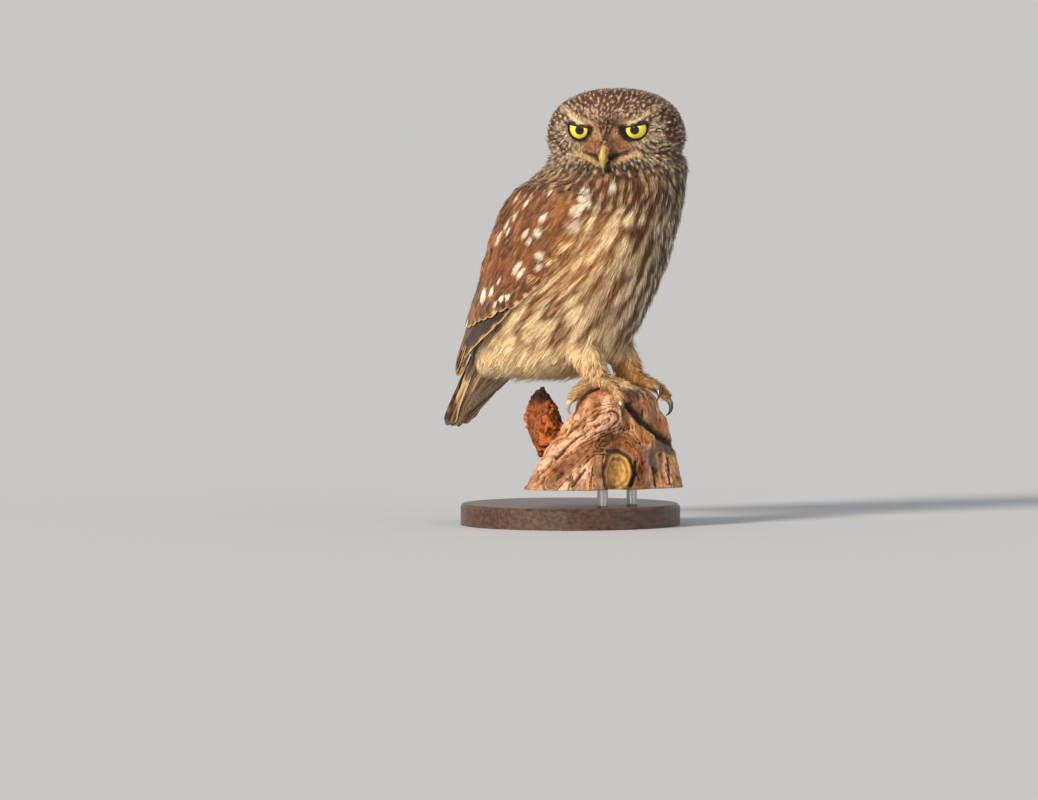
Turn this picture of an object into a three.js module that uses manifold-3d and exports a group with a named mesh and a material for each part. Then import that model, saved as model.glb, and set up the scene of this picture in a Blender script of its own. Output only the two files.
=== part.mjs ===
// A little owl (Athene noctua) at life size, upright on a short cut length of dead wood that two
// rods hold over a flat round base. Lengths are millimetres and +Z is up. The owl's body faces -Y,
// its left side is +X, and its head is turned towards its right shoulder.
// Heights in the sizes below count from the top of the wood, where the feet grip.

import * as THREE from "three";
import { mergeVertices } from "three/addons/utils/BufferGeometryUtils.js";
import Module from "manifold-3d";

const wasm = await Module();
wasm.setup();

const DEG = Math.PI / 180;
const { lerp, clamp } = THREE.MathUtils;

// Driving sizes
const GAP = 0.3; // between solids that touch
const BIG = 400; // side of a cutting block

// Torso outline by height: breast, back and half width
const TORSO = [
  { z: 3, front: 34, back: 84, half: 14 },
  { z: 6, front: 21, back: 95, half: 26 },
  { z: 12, front: 9, back: 101, half: 33 },
  { z: 20, front: 0.5, back: 99, half: 37 },
  { z: 33, front: -8.5, back: 94, half: 41 },
  { z: 52, front: -18, back: 87, half: 45 },
  { z: 68, front: -25, back: 80, half: 47 },
  { z: 84, front: -30, back: 73, half: 47 },
  { z: 98, front: -35.5, back: 67, half: 45 },
  { z: 108, front: -39, back: 61, half: 42.5 },
  { z: 115, front: -37, back: 54, half: 39 },
  { z: 121, front: -27, back: 44, half: 34 },
];
const TORSO_LEVELS = [3, 4, 6, 10, 16, 24, 34, 45, 57, 69, 80, 90, 99, 107, 113, 117, 121];
const TORSO_SIDES = 30;
const TORSO_END_REACH = 6; // up from its lowest ring, over which an offset also lowers the rings

// The shape that the folded wings complete round the torso, and the edges of the right wing on it,
// as angles round the body from the breast
const WING_FORM = [
  { z: 0, front: 28, back: 113, half: 27 },
  { z: 7, front: 19, back: 111, half: 30 },
  { z: 19, front: -1, back: 106, half: 38 },
  { z: 33, front: -11, back: 98, half: 44.5 },
  { z: 52, front: -21, back: 89.5, half: 49 },
  { z: 68, front: -28, back: 83.5, half: 50.5 },
  { z: 84, front: -33, back: 77.5, half: 50.5 },
  { z: 98, front: -39, back: 71, half: 49 },
  { z: 108, front: -43, back: 66, half: 47 },
  { z: 116, front: -41.5, back: 60, half: 44.5 },
];
const WING_EDGES = [
  { z: 5, low: 134, high: 148 },
  { z: 15, low: 122, high: 156 },
  { z: 27, low: 108, high: 160 },
  { z: 47, low: 88, high: 162 },
  { z: 62, low: 72, high: 161 },
  { z: 68, low: 65, high: 160 },
  { z: 82, low: 54, high: 158 },
  { z: 92, low: 52, high: 156 },
  { z: 104, low: 57, high: 148 },
  { z: 109, low: 66, high: 140 },
  { z: 113, low: 84, high: 122 },
];
// Degrees that the left wing's lower edge lies further round to the breast, fading out with height
const LEFT_WING_FORWARD = { turn: 16, top: 74, fade: 30 };
const WING_TOP = 113;
const WING_CORE_END = 34; // below this height only the flight feathers go on
const WING_CORE_DEEP = 6;
const WING_CORE_THINNER = { edges: 1.4, ends: 0.6 };
const WING_STEPS = 9;
const WING_BREADTHS = 7;
const VANE_THICK = 0.6;
const VANE_ROLL = 0.17; // how much each vane leans over the one beside it
// Breadth of a vane along its length, as a share of its greatest one
const VANE_SHAPE = [
  { at: 0, wide: 0.62 },
  { at: 0.38, wide: 0.95 },
  { at: 0.72, wide: 1 },
  { at: 0.92, wide: 0.68 },
  { at: 1, wide: 0.2 },
];
// The tiers of a wing's feathers. Roots and tips are heights and shares of the wing's breadth, from
// the tier's first feather, at the lower edge, to its last.
const WING_TIERS = [
  {
    count: 8,
    root: { z: [46, 54], share: [0.16, 0.62] },
    tip: { z: [4, 34], share: [0.4, 0.94] },
    half: [4, 4.8],
    rise: [-1.3, 0.2],
  },
  {
    count: 6,
    root: { z: [60, 64], share: [0.16, 0.86] },
    tip: { z: [36, 42], share: [0.14, 0.92] },
    half: [5.6, 6],
    rise: [-1.5, 1],
  },
  {
    count: 7,
    root: { z: [76, 80], share: [0.13, 0.87] },
    tip: { z: [55, 60], share: [0.07, 0.93] },
    half: [5.8, 6.4],
    rise: [-1.6, 1.1],
  },
  {
    count: 7,
    root: { z: [92, 95], share: [0.14, 0.86] },
    tip: { z: [72, 76], share: [0.08, 0.92] },
    half: [5.6, 6.2],
    rise: [-1.7, 1.1],
  },
  {
    count: 5,
    root: { z: [104, 106], share: [0.25, 0.8] },
    tip: { z: [87, 90], share: [0.13, 0.9] },
    half: [6, 6.6],
    rise: [-1.8, 0.9],
  },
];

// Head
const HEAD_HEIGHT = 139.8; // of its middle
const HEAD_BACK = 0.6; // behind the feet
const HEAD_TURN = -63; // degrees, to its own right
const HEAD_NOD = 3;
const HEAD_HALF = { side: 38.6, front: 30, back: 31, up: 26, down: 27 };
const HEAD_SQUARENESS = 2.3;
// Rings of the head's surface in degrees from the middle of the face, closer together on the face
const HEAD_RINGS = [
  { from: 5, to: 72, step: 5.8 },
  { from: 76, to: 178, step: 14 },
];
const HEAD_SIDES = 36;
const EYE_SIDES = { round: 16, tall: 10 };
const LID_SIDES = 18;
const LID_BLOCK = 40; // side of the block that the upper lid's line is cut with
const EYE = { side: 14.6, forward: 19.4, up: 4.4, radius: 8, outward: 16 };
const LID_THICK = 0.9;
const LID_OPENING = 6.4;
const BROW_OVER_PUPIL = 2.4;
const BROW_SLANT = 13;

// What stands out of the plain head or is dished into it: how far, and how wide it falls off
const BROW = { out: 2.6, wide: 3.6, from: { x: 3, z: EYE.up + 3.5 }, to: { x: 25, z: EYE.up + 10.5 } };
const BRIDGE = { out: 2.2, wide: 4.2, from: { x: 0, z: EYE.up + 5 }, to: { x: 0, z: -5 } };
const CHEEK_PAD = { out: 1.9, wide: 4.6, x: 8.5, z: -9.5 };
const EYE_DISH = { out: -2.8, wide: 8.5, reach: 3 };
const DISC_RIM = { out: 1.1, wide: 3.6, reach: 23 };
const RELIEF_START = 5; // forward of the head's middle, where the face's relief begins
const RELIEF_RISE = 8.3; // over which it comes up to its full height

// Neck, in the head's own directions, by height
const NECK = [
  { z: 106, fore: 31, aft: 36, half: 37 },
  { z: 113, fore: 34, aft: 38, half: 40 },
  { z: 120, fore: 33.5, aft: 37, half: 40.3 },
  { z: 127, fore: 30, aft: 34, half: 38.6 },
  { z: 134, fore: 22, aft: 27, half: 33 },
];
const NECK_LEVELS = [106, 110, 114, 118, 122, 126, 130, 134];
const NECK_SIDES = 28;
const HEAD_CUT = 121.4;
const NECK_CUT = 110;

// Bill, from the head's middle: out along the face and up
const BILL_TOP = [
  { forward: 25, up: -5.6, side: 2.4, deep: 3.2 },
  { forward: 30.5, up: -5, side: 2.6, deep: 3.2 },
  { forward: 34.2, up: -6.5, side: 3.1, deep: 3.1 },
  { forward: 36.6, up: -9.4, side: 2.9, deep: 2.8 },
  { forward: 37.6, up: -12.7, side: 2.3, deep: 2.2 },
  { forward: 37.3, up: -15.8, side: 1.4, deep: 1.4 },
  { forward: 36.4, up: -18.6, side: 0.45, deep: 0.45 },
];
const BILL_LOWER = [
  { forward: 24, up: -11, side: 3, deep: 1.6 },
  { forward: 29, up: -11.8, side: 2.9, deep: 1.5 },
  { forward: 32.4, up: -13.4, side: 2.2, deep: 1.2 },
  { forward: 34.4, up: -15.2, side: 0.9, deep: 0.6 },
];
const BILL_SIDES = 10;
const MOUTH_LINE = [
  { x: 2.2, z: -11.4 },
  { x: 5, z: -10 },
  { x: 8.5, z: -9.4 },
  { x: 12.5, z: -10.4 },
];
const MOUTH_GROOVE = 0.55;
const MOUTH_SIDES = 6;
const NOSTRIL = { side: 2.6, forward: 34.2, up: -6.1, radius: 0.8 };
const NOSTRIL_SIDES = { round: 8, tall: 6 };

// Tail: its line from root to tip, seen from the side, and its stack of feathers
const TAIL_ROOT = { y: 85, z: 48 };
const TAIL_TIP = { y: 124, z: -25 };
const TAIL_PAIRS = 6;
const TAIL_HALF_ROOT = 9;
const TAIL_HALF_TIP = 15.5;
const TAIL_LAYER = 0.86; // from one pair of feathers to the next below it
const TAIL_FEATHER_HALF = 4.6;
const TAIL_FEATHER_START = 8;
const TAIL_MIDDLE_APART = 3;
const TAIL_OUTER_SHORTER = 4; // the outermost pair against the middle one
const TAIL_LEFT_SHORTER = 0.8;
// Coverts over the tail's root, by their share of the way out from the middle
const TAIL_COVERTS = {
  shares: [-1, -0.35, 0.35, 1],
  root: 4.5,
  tip: 7,
  start: 3,
  end: 36,
  outerShorter: 6,
  half: 4.2,
  over: 1,
  outerLower: 0.5,
};
// The root that all the tail's feathers start in
const TAIL_PLUG = [
  { along: 0, half: TAIL_HALF_ROOT, top: 1.4, under: 1 },
  { along: 10, half: TAIL_HALF_ROOT + 0.4, top: 1, under: 0.75 },
  { along: 22, half: TAIL_HALF_ROOT + 0.8, top: 0.6, under: 0.5 },
];
const TAIL_PLUG_CORNER = 0.8; // share of its half width where the corner is
// The room for it, over its upper face and under its lowest pair
const TAIL_ROOM_TOP = 1.6;
const TAIL_ROOM_UNDER = 1;
const TAIL_ROOM_ABOVE = 30; // out of the body that lies on it
const VENT = [
  { along: 14, half: 20, deep: 12 },
  { along: 30, half: 19, deep: 10.5 },
  { along: 44, half: 16, deep: 8 },
  { along: 56, half: 11.5, deep: 5 },
  { along: 66, half: 6, deep: 2.2 },
  { along: 71, half: 1.5, deep: 0.5 },
];
const VENT_SIDES = 12;

// Legs and feet
const FOOT_SIDE = 15;
const FOOT_BACK = 1;
const ANKLE_HEIGHT = 7;
// The shank's line from the foot up into the body, out to its own side, back and up
const SHANK = [
  { out: 0, back: 0, up: 1.5 },
  { out: 0, back: 1, up: 6 },
  { out: 0.5, back: 4, up: 12 },
  { out: 1, back: 11, up: 20 },
  { out: 1.5, back: 19, up: 30 },
];
const SHANK_SIDES = 12;
const PAD_RADIUS = 6.6;
const SHANK_TOP_RADIUS = 9.5;
const TOE_THICK = 3.8;
const TOE_TAPER = [1.12, 0.78]; // share of that thickness at the foot and at the toe's end
const TOE_SIDES = 8;
const TOE_EVERY = 3; // steps of its path to one ring
const CLAW_THICK = 1.6;
const CLAW_TIP = 0.18;
const CLAW_TAPER = 1.6;
const CLAW_SINK = 0.8; // into the toe's end
const CLAW_SIDES = 6;
const CLAW_LIFT = -22; // degrees off the toe's end, and on round from there
const CLAW_BEND = 118;
const CLAW_STEPS = 6;
// Each toe's heading in degrees from straight ahead, outwards, its length and its claw's length
const TOES = [
  { name: "hind", heading: -166, length: 11, claw: 10 },
  { name: "inner", heading: -16, length: 17, claw: 12.5 },
  { name: "middle", heading: 14, length: 20, claw: 13 },
  { name: "outer", heading: 118, length: 16, claw: 11 },
];

// Perch: a crown that the toes wrap round, over a stub that widens down to a sawn face
const CROWN = { side: 28, fore: 20, deep: 15, squareness: 2.3 };
const STUB_END = -58;
const STUB_SHIFT = { x: -9, y: 8 }; // how far its foot lies off its crown
const STUB_FLARE = { x: 1.34, y: 1.5 };
const PERCH_SIDES = 32;
const PERCH_DEPTHS = [0.6, 2.2, 5, 9, 15, 20, 25, 31, 38, 45, 51, -STUB_END];
// Ribs and hollows of the weathered wood: their heading, how far each stands out at the sawn face as
// a share of the stub's reach, how wide it is and how far it twists on the way down, in degrees
const RIBS = [
  { heading: 140, out: 0.3, wide: 26, twist: 18 },
  { heading: 205, out: 0.14, wide: 15, twist: 14 },
  { heading: 238, out: -0.3, wide: 17, twist: 8 },
  { heading: 272, out: 0.16, wide: 14, twist: -6 },
  { heading: 316, out: 0.52, wide: 22, twist: -8 },
  { heading: 8, out: -0.1, wide: 14, twist: -10 },
  { heading: 50, out: -0.14, wide: 20, twist: 12 },
  { heading: 90, out: 0.12, wide: 16, twist: 10 },
];
// A broken spur that rises beside the stub, by place and thickness
const SPUR = [
  { x: -14, y: 16, z: -50, radius: 12 },
  { x: -22, y: 24, z: -38, radius: 11 },
  { x: -27, y: 29, z: -26, radius: 11.5 },
  { x: -29, y: 31, z: -15, radius: 10 },
  { x: -28, y: 33, z: -7, radius: 6.5 },
  { x: -27, y: 34, z: -3, radius: 2.6 },
];
const SPUR_SIDES = 12;

// Stand
const BASE_RADIUS = 62;
const BASE_THICK = 12;
const BASE_CHAMFER = 1.5;
const BASE_BACK = 34; // centre of the base behind the feet
const ROD_RADIUS = 3;
const ROD_LENGTH = 10;
const ROD_APART = 26;
const BASE_SIDES = 48;
const ROD_SIDES = 20;

const material = (color, roughness, metalness = 0) =>
  new THREE.MeshStandardMaterial({ color, roughness, metalness });
const MATERIALS = {
  plumage: material(0x8a6a4c, 0.9),
  wing: material(0x70492c, 0.85),
  leg: material(0xc2a06c, 0.9),
  eye: material(0xf2e020, 0.1),
  bill: material(0xb9b055, 0.4),
  claw: material(0x2b2825, 0.35),
  wood: material(0xb07a55, 0.9),
  base: material(0x3d2a1e, 0.5),
  rod: material(0x8d8a84, 0.35, 1),
};

// A repeatable source of small differences
function seeded(seed) {
  let state = seed;
  return () => {
    state = (state * 1664525 + 1013904223) % 4294967296;
    return state / 4294967296;
  };
}

// Reads sizes that are listed by height at any height between
function profile(stations) {
  const names = Object.keys(stations[0]).filter((name) => name !== "z");
  const last = stations.length - 1;
  const slope = (name, j) => {
    const before = stations[Math.max(j - 1, 0)];
    const after = stations[Math.min(j + 1, last)];
    return (after[name] - before[name]) / (after.z - before.z);
  };
  return (z) => {
    let i = 0;
    while (i < last - 1 && z > stations[i + 1].z) i += 1;
    const from = stations[i];
    const to = stations[i + 1];
    const span = to.z - from.z;
    const t = clamp((z - from.z) / span, 0, 1);
    const values = {};
    for (const name of names) {
      const rise = slope(name, i) * span;
      const fall = slope(name, i + 1) * span;
      const change = to[name] - from[name];
      values[name] =
        from[name] + t * (rise + t * (3 * change - 2 * rise - fall + t * (rise + fall - 2 * change)));
    }
    return values;
  };
}
const torsoAt = profile(TORSO);
const wingFormAt = profile(WING_FORM);
const wingEdgesAt = profile(WING_EDGES);
const neckAt = profile(NECK);

// A closed geometry through rings of equally many points, each end closed by a fan. In a thin piece
// the second half of each ring is the other face, and is split into triangles alike.
function loft(rings, thin = false) {
  const sides = rings[0].length;
  const points = rings.flat();
  const faces = [];
  for (let r = 0; r + 1 < rings.length; r += 1) {
    for (let s = 0; s < sides; s += 1) {
      const a = r * sides + s;
      const b = r * sides + ((s + 1) % sides);
      if (thin && s >= sides / 2) faces.push(a, b, b + sides, a, b + sides, a + sides);
      else faces.push(a, b, a + sides, b, b + sides, a + sides);
    }
  }
  for (const [ring, first] of [
    [rings[0], 0],
    [rings[rings.length - 1], (rings.length - 1) * sides],
  ]) {
    const middle = points.length;
    points.push(ring.reduce((sum, p) => sum.add(p), new THREE.Vector3()).divideScalar(sides));
    for (let s = 0; s < sides; s += 1) {
      const pair = [first + s, first + ((s + 1) % sides)];
      if (first === 0) pair.reverse();
      faces.push(middle, ...pair);
    }
  }
  const geometry = new THREE.BufferGeometry().setFromPoints(points);
  geometry.setIndex(faces);
  return facingOut(geometry);
}

// Turns the faces round where they enclose a negative volume
function facingOut(geometry) {
  const at = geometry.getAttribute("position");
  const index = geometry.getIndex().array;
  const [a, b, c] = [new THREE.Vector3(), new THREE.Vector3(), new THREE.Vector3()];
  let volume = 0;
  for (let i = 0; i < index.length; i += 3) {
    a.fromBufferAttribute(at, index[i]);
    b.fromBufferAttribute(at, index[i + 1]);
    c.fromBufferAttribute(at, index[i + 2]);
    volume += a.dot(b.cross(c));
  }
  if (volume < 0) {
    for (let i = 0; i < index.length; i += 3) {
      [index[i + 1], index[i + 2]] = [index[i + 2], index[i + 1]];
    }
  }
  return geometry;
}

function solidOf(geometry) {
  const bare = geometry.clone();
  for (const name of ["normal", "uv"]) bare.deleteAttribute(name);
  const merged = mergeVertices(bare, 1e-4);
  return new wasm.Manifold(
    new wasm.Mesh({
      numProp: 3,
      vertProperties: new Float32Array(merged.getAttribute("position").array),
      triVerts: new Uint32Array(merged.getIndex().array),
    }),
  );
}

function geometryOf(solid) {
  const { vertProperties, triVerts, numProp, numVert } = solid.getMesh();
  const points = new Float32Array(numVert * 3);
  for (let v = 0; v < numVert; v += 1) {
    points.set(vertProperties.subarray(v * numProp, v * numProp + 3), v * 3);
  }
  const geometry = new THREE.BufferGeometry();
  geometry.setAttribute("position", new THREE.BufferAttribute(points, 3));
  geometry.setIndex(new THREE.BufferAttribute(new Uint32Array(triVerts), 1));
  return geometry;
}

const union = (solids) => solids.reduce((whole, solid) => whole.add(solid));

// The largest closed surface of a solid, without sealed hollows or loose scraps
function largest(solid) {
  return solid.decompose().reduce((a, b) => (b.volume() > a.volume() ? b : a));
}

// A block that fills the space above or below a height
function halfSpace(height, above) {
  const block = new THREE.BoxGeometry(BIG, BIG, BIG);
  block.translate(0, 0, height + (above ? BIG / 2 : -BIG / 2));
  return solidOf(block);
}

// A ring round the body at one height. The angle runs from the breast to the owl's left.
function bodyPoint({ front, back, half }, z, angle, outward) {
  const deep = (back - front) / 2 + outward;
  return new THREE.Vector3(
    (half + outward) * Math.sin(angle),
    (front + back) / 2 - deep * Math.cos(angle),
    z,
  );
}

function torsoSolid(outward) {
  const rings = TORSO_LEVELS.map((z) => {
    const nearEnd = clamp((TORSO_LEVELS[0] + TORSO_END_REACH - z) / TORSO_END_REACH, 0, 1);
    return Array.from({ length: TORSO_SIDES }, (_, s) =>
      bodyPoint(torsoAt(z), z - outward * nearEnd, (s / TORSO_SIDES) * 2 * Math.PI, outward),
    );
  });
  return solidOf(loft(rings));
}

// From the head's own frame, with its middle at the origin and its face towards -Y, to the owl's
const headFrame = new THREE.Matrix4()
  .makeTranslation(0, HEAD_BACK, HEAD_HEIGHT)
  .multiply(new THREE.Matrix4().makeRotationZ(HEAD_TURN * DEG))
  .multiply(new THREE.Matrix4().makeRotationX(HEAD_NOD * DEG));
const headFrameBack = headFrame.clone().invert();

const bump = (distance, reach) => Math.exp(-((distance / reach) ** 2));

function distanceToSegment(x, z, from, to) {
  const dx = to.x - from.x;
  const dz = to.z - from.z;
  const t = clamp(((x - from.x) * dx + (z - from.z) * dz) / (dx * dx + dz * dz), 0, 1);
  return Math.hypot(x - from.x - t * dx, z - from.z - t * dz);
}

// How far the face stands out of the plain head at a place across it: brows, the bridge down to the
// bill, cheek pads and disc rims stand out, and the disc round each eye is dished
function faceRelief(x, z) {
  const side = Math.abs(x);
  const fromEye = Math.hypot(side - EYE.side, z - EYE.up);
  const swell = ({ out, wide }, distance) => out * bump(distance, wide);
  return (
    swell(BROW, distanceToSegment(side, z, BROW.from, BROW.to)) +
    swell(BRIDGE, distanceToSegment(side, z, BRIDGE.from, BRIDGE.to)) +
    swell(CHEEK_PAD, Math.hypot(side - CHEEK_PAD.x, z - CHEEK_PAD.z)) +
    swell(EYE_DISH, fromEye - EYE_DISH.reach) +
    swell(DISC_RIM, fromEye - DISC_RIM.reach)
  );
}

function headPoint(turn, round, outward) {
  const d = new THREE.Vector3(
    Math.sin(turn) * Math.cos(round),
    -Math.cos(turn),
    Math.sin(turn) * Math.sin(round),
  );
  const n = HEAD_SQUARENESS;
  const deep = d.y < 0 ? HEAD_HALF.front : HEAD_HALF.back;
  const tall = d.z > 0 ? HEAD_HALF.up : HEAD_HALF.down;
  const sum =
    Math.abs(d.x / HEAD_HALF.side) ** n + Math.abs(d.y / deep) ** n + Math.abs(d.z / tall) ** n;
  const reach = sum ** (-1 / n);
  const onFace = clamp((-d.y * reach - RELIEF_START) / RELIEF_RISE, 0, 1);
  const relief = onFace * faceRelief(d.x * reach, d.z * reach);
  return d.multiplyScalar(reach + relief + outward);
}

function headSolid(outward) {
  const turns = [];
  for (const { from, to, step } of HEAD_RINGS) {
    for (let degrees = from; degrees < to; degrees += step) turns.push(degrees * DEG);
  }
  const rings = turns.map((turn) =>
    Array.from({ length: HEAD_SIDES }, (_, s) =>
      headPoint(turn, (s / HEAD_SIDES) * 2 * Math.PI, outward).applyMatrix4(headFrame),
    ),
  );
  return solidOf(loft(rings));
}

function neckSolid(outward) {
  const turn = new THREE.Matrix4().makeRotationZ(HEAD_TURN * DEG);
  const rings = NECK_LEVELS.map((z) => {
    const { fore, aft, half } = neckAt(z);
    return Array.from({ length: NECK_SIDES }, (_, s) => {
      const angle = (s / NECK_SIDES) * 2 * Math.PI;
      const deep = Math.cos(angle) > 0 ? fore : aft;
      const x = (half + outward) * Math.sin(angle);
      const y = -(deep + outward) * Math.cos(angle);
      return new THREE.Vector3(x, y, z).applyMatrix4(turn).add(new THREE.Vector3(0, HEAD_BACK, 0));
    });
  });
  return solidOf(loft(rings));
}

// Solids of the head that are placed in its own frame
function inHead(geometry) {
  return solidOf(geometry.applyMatrix4(headFrame));
}

function eyeFrame(side) {
  return new THREE.Matrix4()
    .makeTranslation(side * EYE.side, -EYE.forward, EYE.up)
    .multiply(new THREE.Matrix4().makeRotationZ(side * EYE.outward * DEG));
}

function eyeSolid(side, radius) {
  const ball = new THREE.SphereGeometry(radius, EYE_SIDES.round, EYE_SIDES.tall);
  ball.rotateX(Math.PI / 2);
  return inHead(ball.applyMatrix4(eyeFrame(side)));
}

// What the lids leave open: a round window whose top is cut off by the slanting upper lid
function lidOpening(side) {
  const window = new THREE.CylinderGeometry(LID_OPENING, LID_OPENING, EYE.radius * 2, LID_SIDES);
  window.translate(0, -EYE.radius, 0);
  const below = new THREE.BoxGeometry(LID_BLOCK, LID_BLOCK, LID_BLOCK);
  below.translate(0, 0, BROW_OVER_PUPIL - LID_BLOCK / 2);
  below.rotateY(-side * BROW_SLANT * DEG);
  const frame = eyeFrame(side);
  return inHead(window.applyMatrix4(frame)).intersect(inHead(below.applyMatrix4(frame)));
}

// Point of the face's surface at a place across it, in the head's own frame
function facePoint(x, z) {
  const round = Math.atan2(z, x);
  let [near, far] = [0, 80 * DEG];
  for (let i = 0; i < 24; i += 1) {
    const middle = (near + far) / 2;
    const p = headPoint(middle, round, 0);
    if (Math.hypot(p.x, p.z) < Math.hypot(x, z)) near = middle;
    else far = middle;
  }
  return headPoint((near + far) / 2, round, 0);
}

// The line of the mouth: a groove from the side of the bill back under the cheek
function mouthGroove(side) {
  const line = MOUTH_LINE.map(({ x, z }) => facePoint(side * x, z));
  return inHead(tube(line, () => MOUTH_GROOVE, MOUTH_SIDES));
}

// A horny piece of the bill through its stations, keeled where they are deep
function billPiece(stations, outward) {
  const line = stations.map((s) => new THREE.Vector3(0, -s.forward, s.up));
  const curve = new THREE.CatmullRomCurve3(line);
  const rings = stations.map((station, i) => {
    const along = curve.getTangent(i / (stations.length - 1));
    const over = new THREE.Vector3(0, along.z, -along.y);
    return Array.from({ length: BILL_SIDES }, (_, s) => {
      const angle = (s / BILL_SIDES) * 2 * Math.PI;
      const point = line[i].clone();
      point.x += (station.side + outward) * Math.sin(angle);
      return point.addScaledVector(over, (station.deep + outward) * Math.cos(angle));
    });
  });
  return inHead(loft(rings));
}

// A tube whose thickness changes along a line of points
function tube(points, thickness, sides) {
  const curve = new THREE.CatmullRomCurve3(points);
  const steps = points.length - 1;
  const { normals, binormals } = curve.computeFrenetFrames(steps, false);
  const rings = points.map((point, i) =>
    Array.from({ length: sides }, (_, s) => {
      const angle = (s / sides) * 2 * Math.PI;
      const radius = thickness(i / steps);
      return point
        .clone()
        .addScaledVector(normals[i], radius * Math.cos(angle))
        .addScaledVector(binormals[i], radius * Math.sin(angle));
    }),
  );
  return loft(rings);
}

// A feather vane: a thin flat blade along a line on a surface, with a rounded tip
function vane(lineAt, halfWidth, roll) {
  const rings = VANE_SHAPE.map(({ at, wide }) => {
    const { point, along, out } = lineAt(at);
    const across = new THREE.Vector3().crossVectors(out, along).normalize();
    const tilted = across.clone().addScaledVector(out, roll).normalize();
    const up = new THREE.Vector3().crossVectors(along, tilted).normalize();
    const half = halfWidth * wide;
    return [
      [-half, -VANE_THICK / 2],
      [half, -VANE_THICK / 2],
      [half, VANE_THICK / 2],
      [-half, VANE_THICK / 2],
    ].map(([a, u]) => point.clone().addScaledVector(tilted, a).addScaledVector(up, u));
  });
  return solidOf(loft(rings, true));
}

// Point on the form of the folded wings. share runs from the wing's lower edge to its upper one.
function wingPoint(side, z, share, outward) {
  const { low, high } = wingEdgesAt(z);
  const lowDown = clamp((LEFT_WING_FORWARD.top - z) / LEFT_WING_FORWARD.fade, 0, 1);
  const forward = side > 0 ? LEFT_WING_FORWARD.turn * lowDown : 0;
  const angle = lerp(low - forward, high, share) * DEG;
  return bodyPoint(wingFormAt(z), z, side * angle, outward);
}

function wingNormal(side, z, share) {
  const step = 0.5;
  const round = wingPoint(side, z, share + 0.02, 0).sub(wingPoint(side, z, share - 0.02, 0));
  const up = wingPoint(side, z + step, share, 0).sub(wingPoint(side, z - step, share, 0));
  return round.cross(up).normalize().multiplyScalar(side);
}

// The fleshy part of a folded wing, with its small coverts: a slab that thins towards its edges
function wingCore(side) {
  const rings = [];
  for (let i = 0; i <= WING_STEPS; i += 1) {
    const z = lerp(WING_TOP, WING_CORE_END, (i / WING_STEPS) ** 1.5);
    const end = Math.abs((2 * i) / WING_STEPS - 1) ** 8;
    const outer = [];
    const inner = [];
    for (let j = 0; j < WING_BREADTHS; j += 1) {
      const share = j / (WING_BREADTHS - 1);
      const edge = Math.abs(2 * share - 1) ** 3;
      const thinner = WING_CORE_THINNER.edges * edge + WING_CORE_THINNER.ends * end * (1 - edge);
      outer.push(wingPoint(side, z, share, -thinner));
      inner.push(wingPoint(side, z, share, -WING_CORE_DEEP));
    }
    rings.push([...outer, ...inner.reverse()]);
  }
  return solidOf(loft(rings, true));
}

function wingTier(side, tier, random) {
  return Array.from({ length: tier.count }, (_, i) => {
    const f = i / (tier.count - 1);
    const vary = (size) => (random() - 0.5) * size;
    const root = { z: lerp(...tier.root.z, f), share: lerp(...tier.root.share, f) };
    const tip = { z: lerp(...tier.tip.z, f) + vary(1.6), share: lerp(...tier.tip.share, f) };
    const rise = (at) => lerp(...tier.rise, at) + vary(0.1);
    const place = (at) => [lerp(root.z, tip.z, at), lerp(root.share, tip.share, at)];
    const lineAt = (at) => {
      const [z, share] = place(at);
      const out = wingNormal(side, z, share);
      const ahead = wingPoint(side, ...place(at + 0.02), 0);
      const along = ahead.sub(wingPoint(side, ...place(at - 0.02), 0)).normalize();
      return { point: wingPoint(side, z, share, 0).addScaledVector(out, rise(at)), along, out };
    };
    return vane(lineAt, lerp(...tier.half, f) + vary(0.5), side * VANE_ROLL);
  });
}

function wingSolid(side, bodyCut) {
  const random = seeded(side > 0 ? 11 : 23);
  const feathers = WING_TIERS.flatMap((tier) => wingTier(side, tier, random));
  return largest(union([wingCore(side), ...feathers]).subtract(bodyCut).subtract(tailClearance()));
}

// The tail's own directions: along it, across it and out of its upper face
const tailAlong = new THREE.Vector3(0, TAIL_TIP.y - TAIL_ROOT.y, TAIL_TIP.z - TAIL_ROOT.z);
const tailLength = tailAlong.length();
tailAlong.normalize();
const tailOut = new THREE.Vector3(0, -tailAlong.z, tailAlong.y);

function tailPoint(along, across, out) {
  return new THREE.Vector3(across, TAIL_ROOT.y, TAIL_ROOT.z)
    .addScaledVector(tailAlong, along)
    .addScaledVector(tailOut, out);
}

function tailVane(rootAcross, tipAcross, start, end, half, layer) {
  const lineAt = (at) => ({
    point: tailPoint(lerp(start, end, at), lerp(rootAcross, tipAcross, at), layer),
    along: tailAlong,
    out: tailOut,
  });
  return vane(lineAt, half, 0);
}

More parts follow.
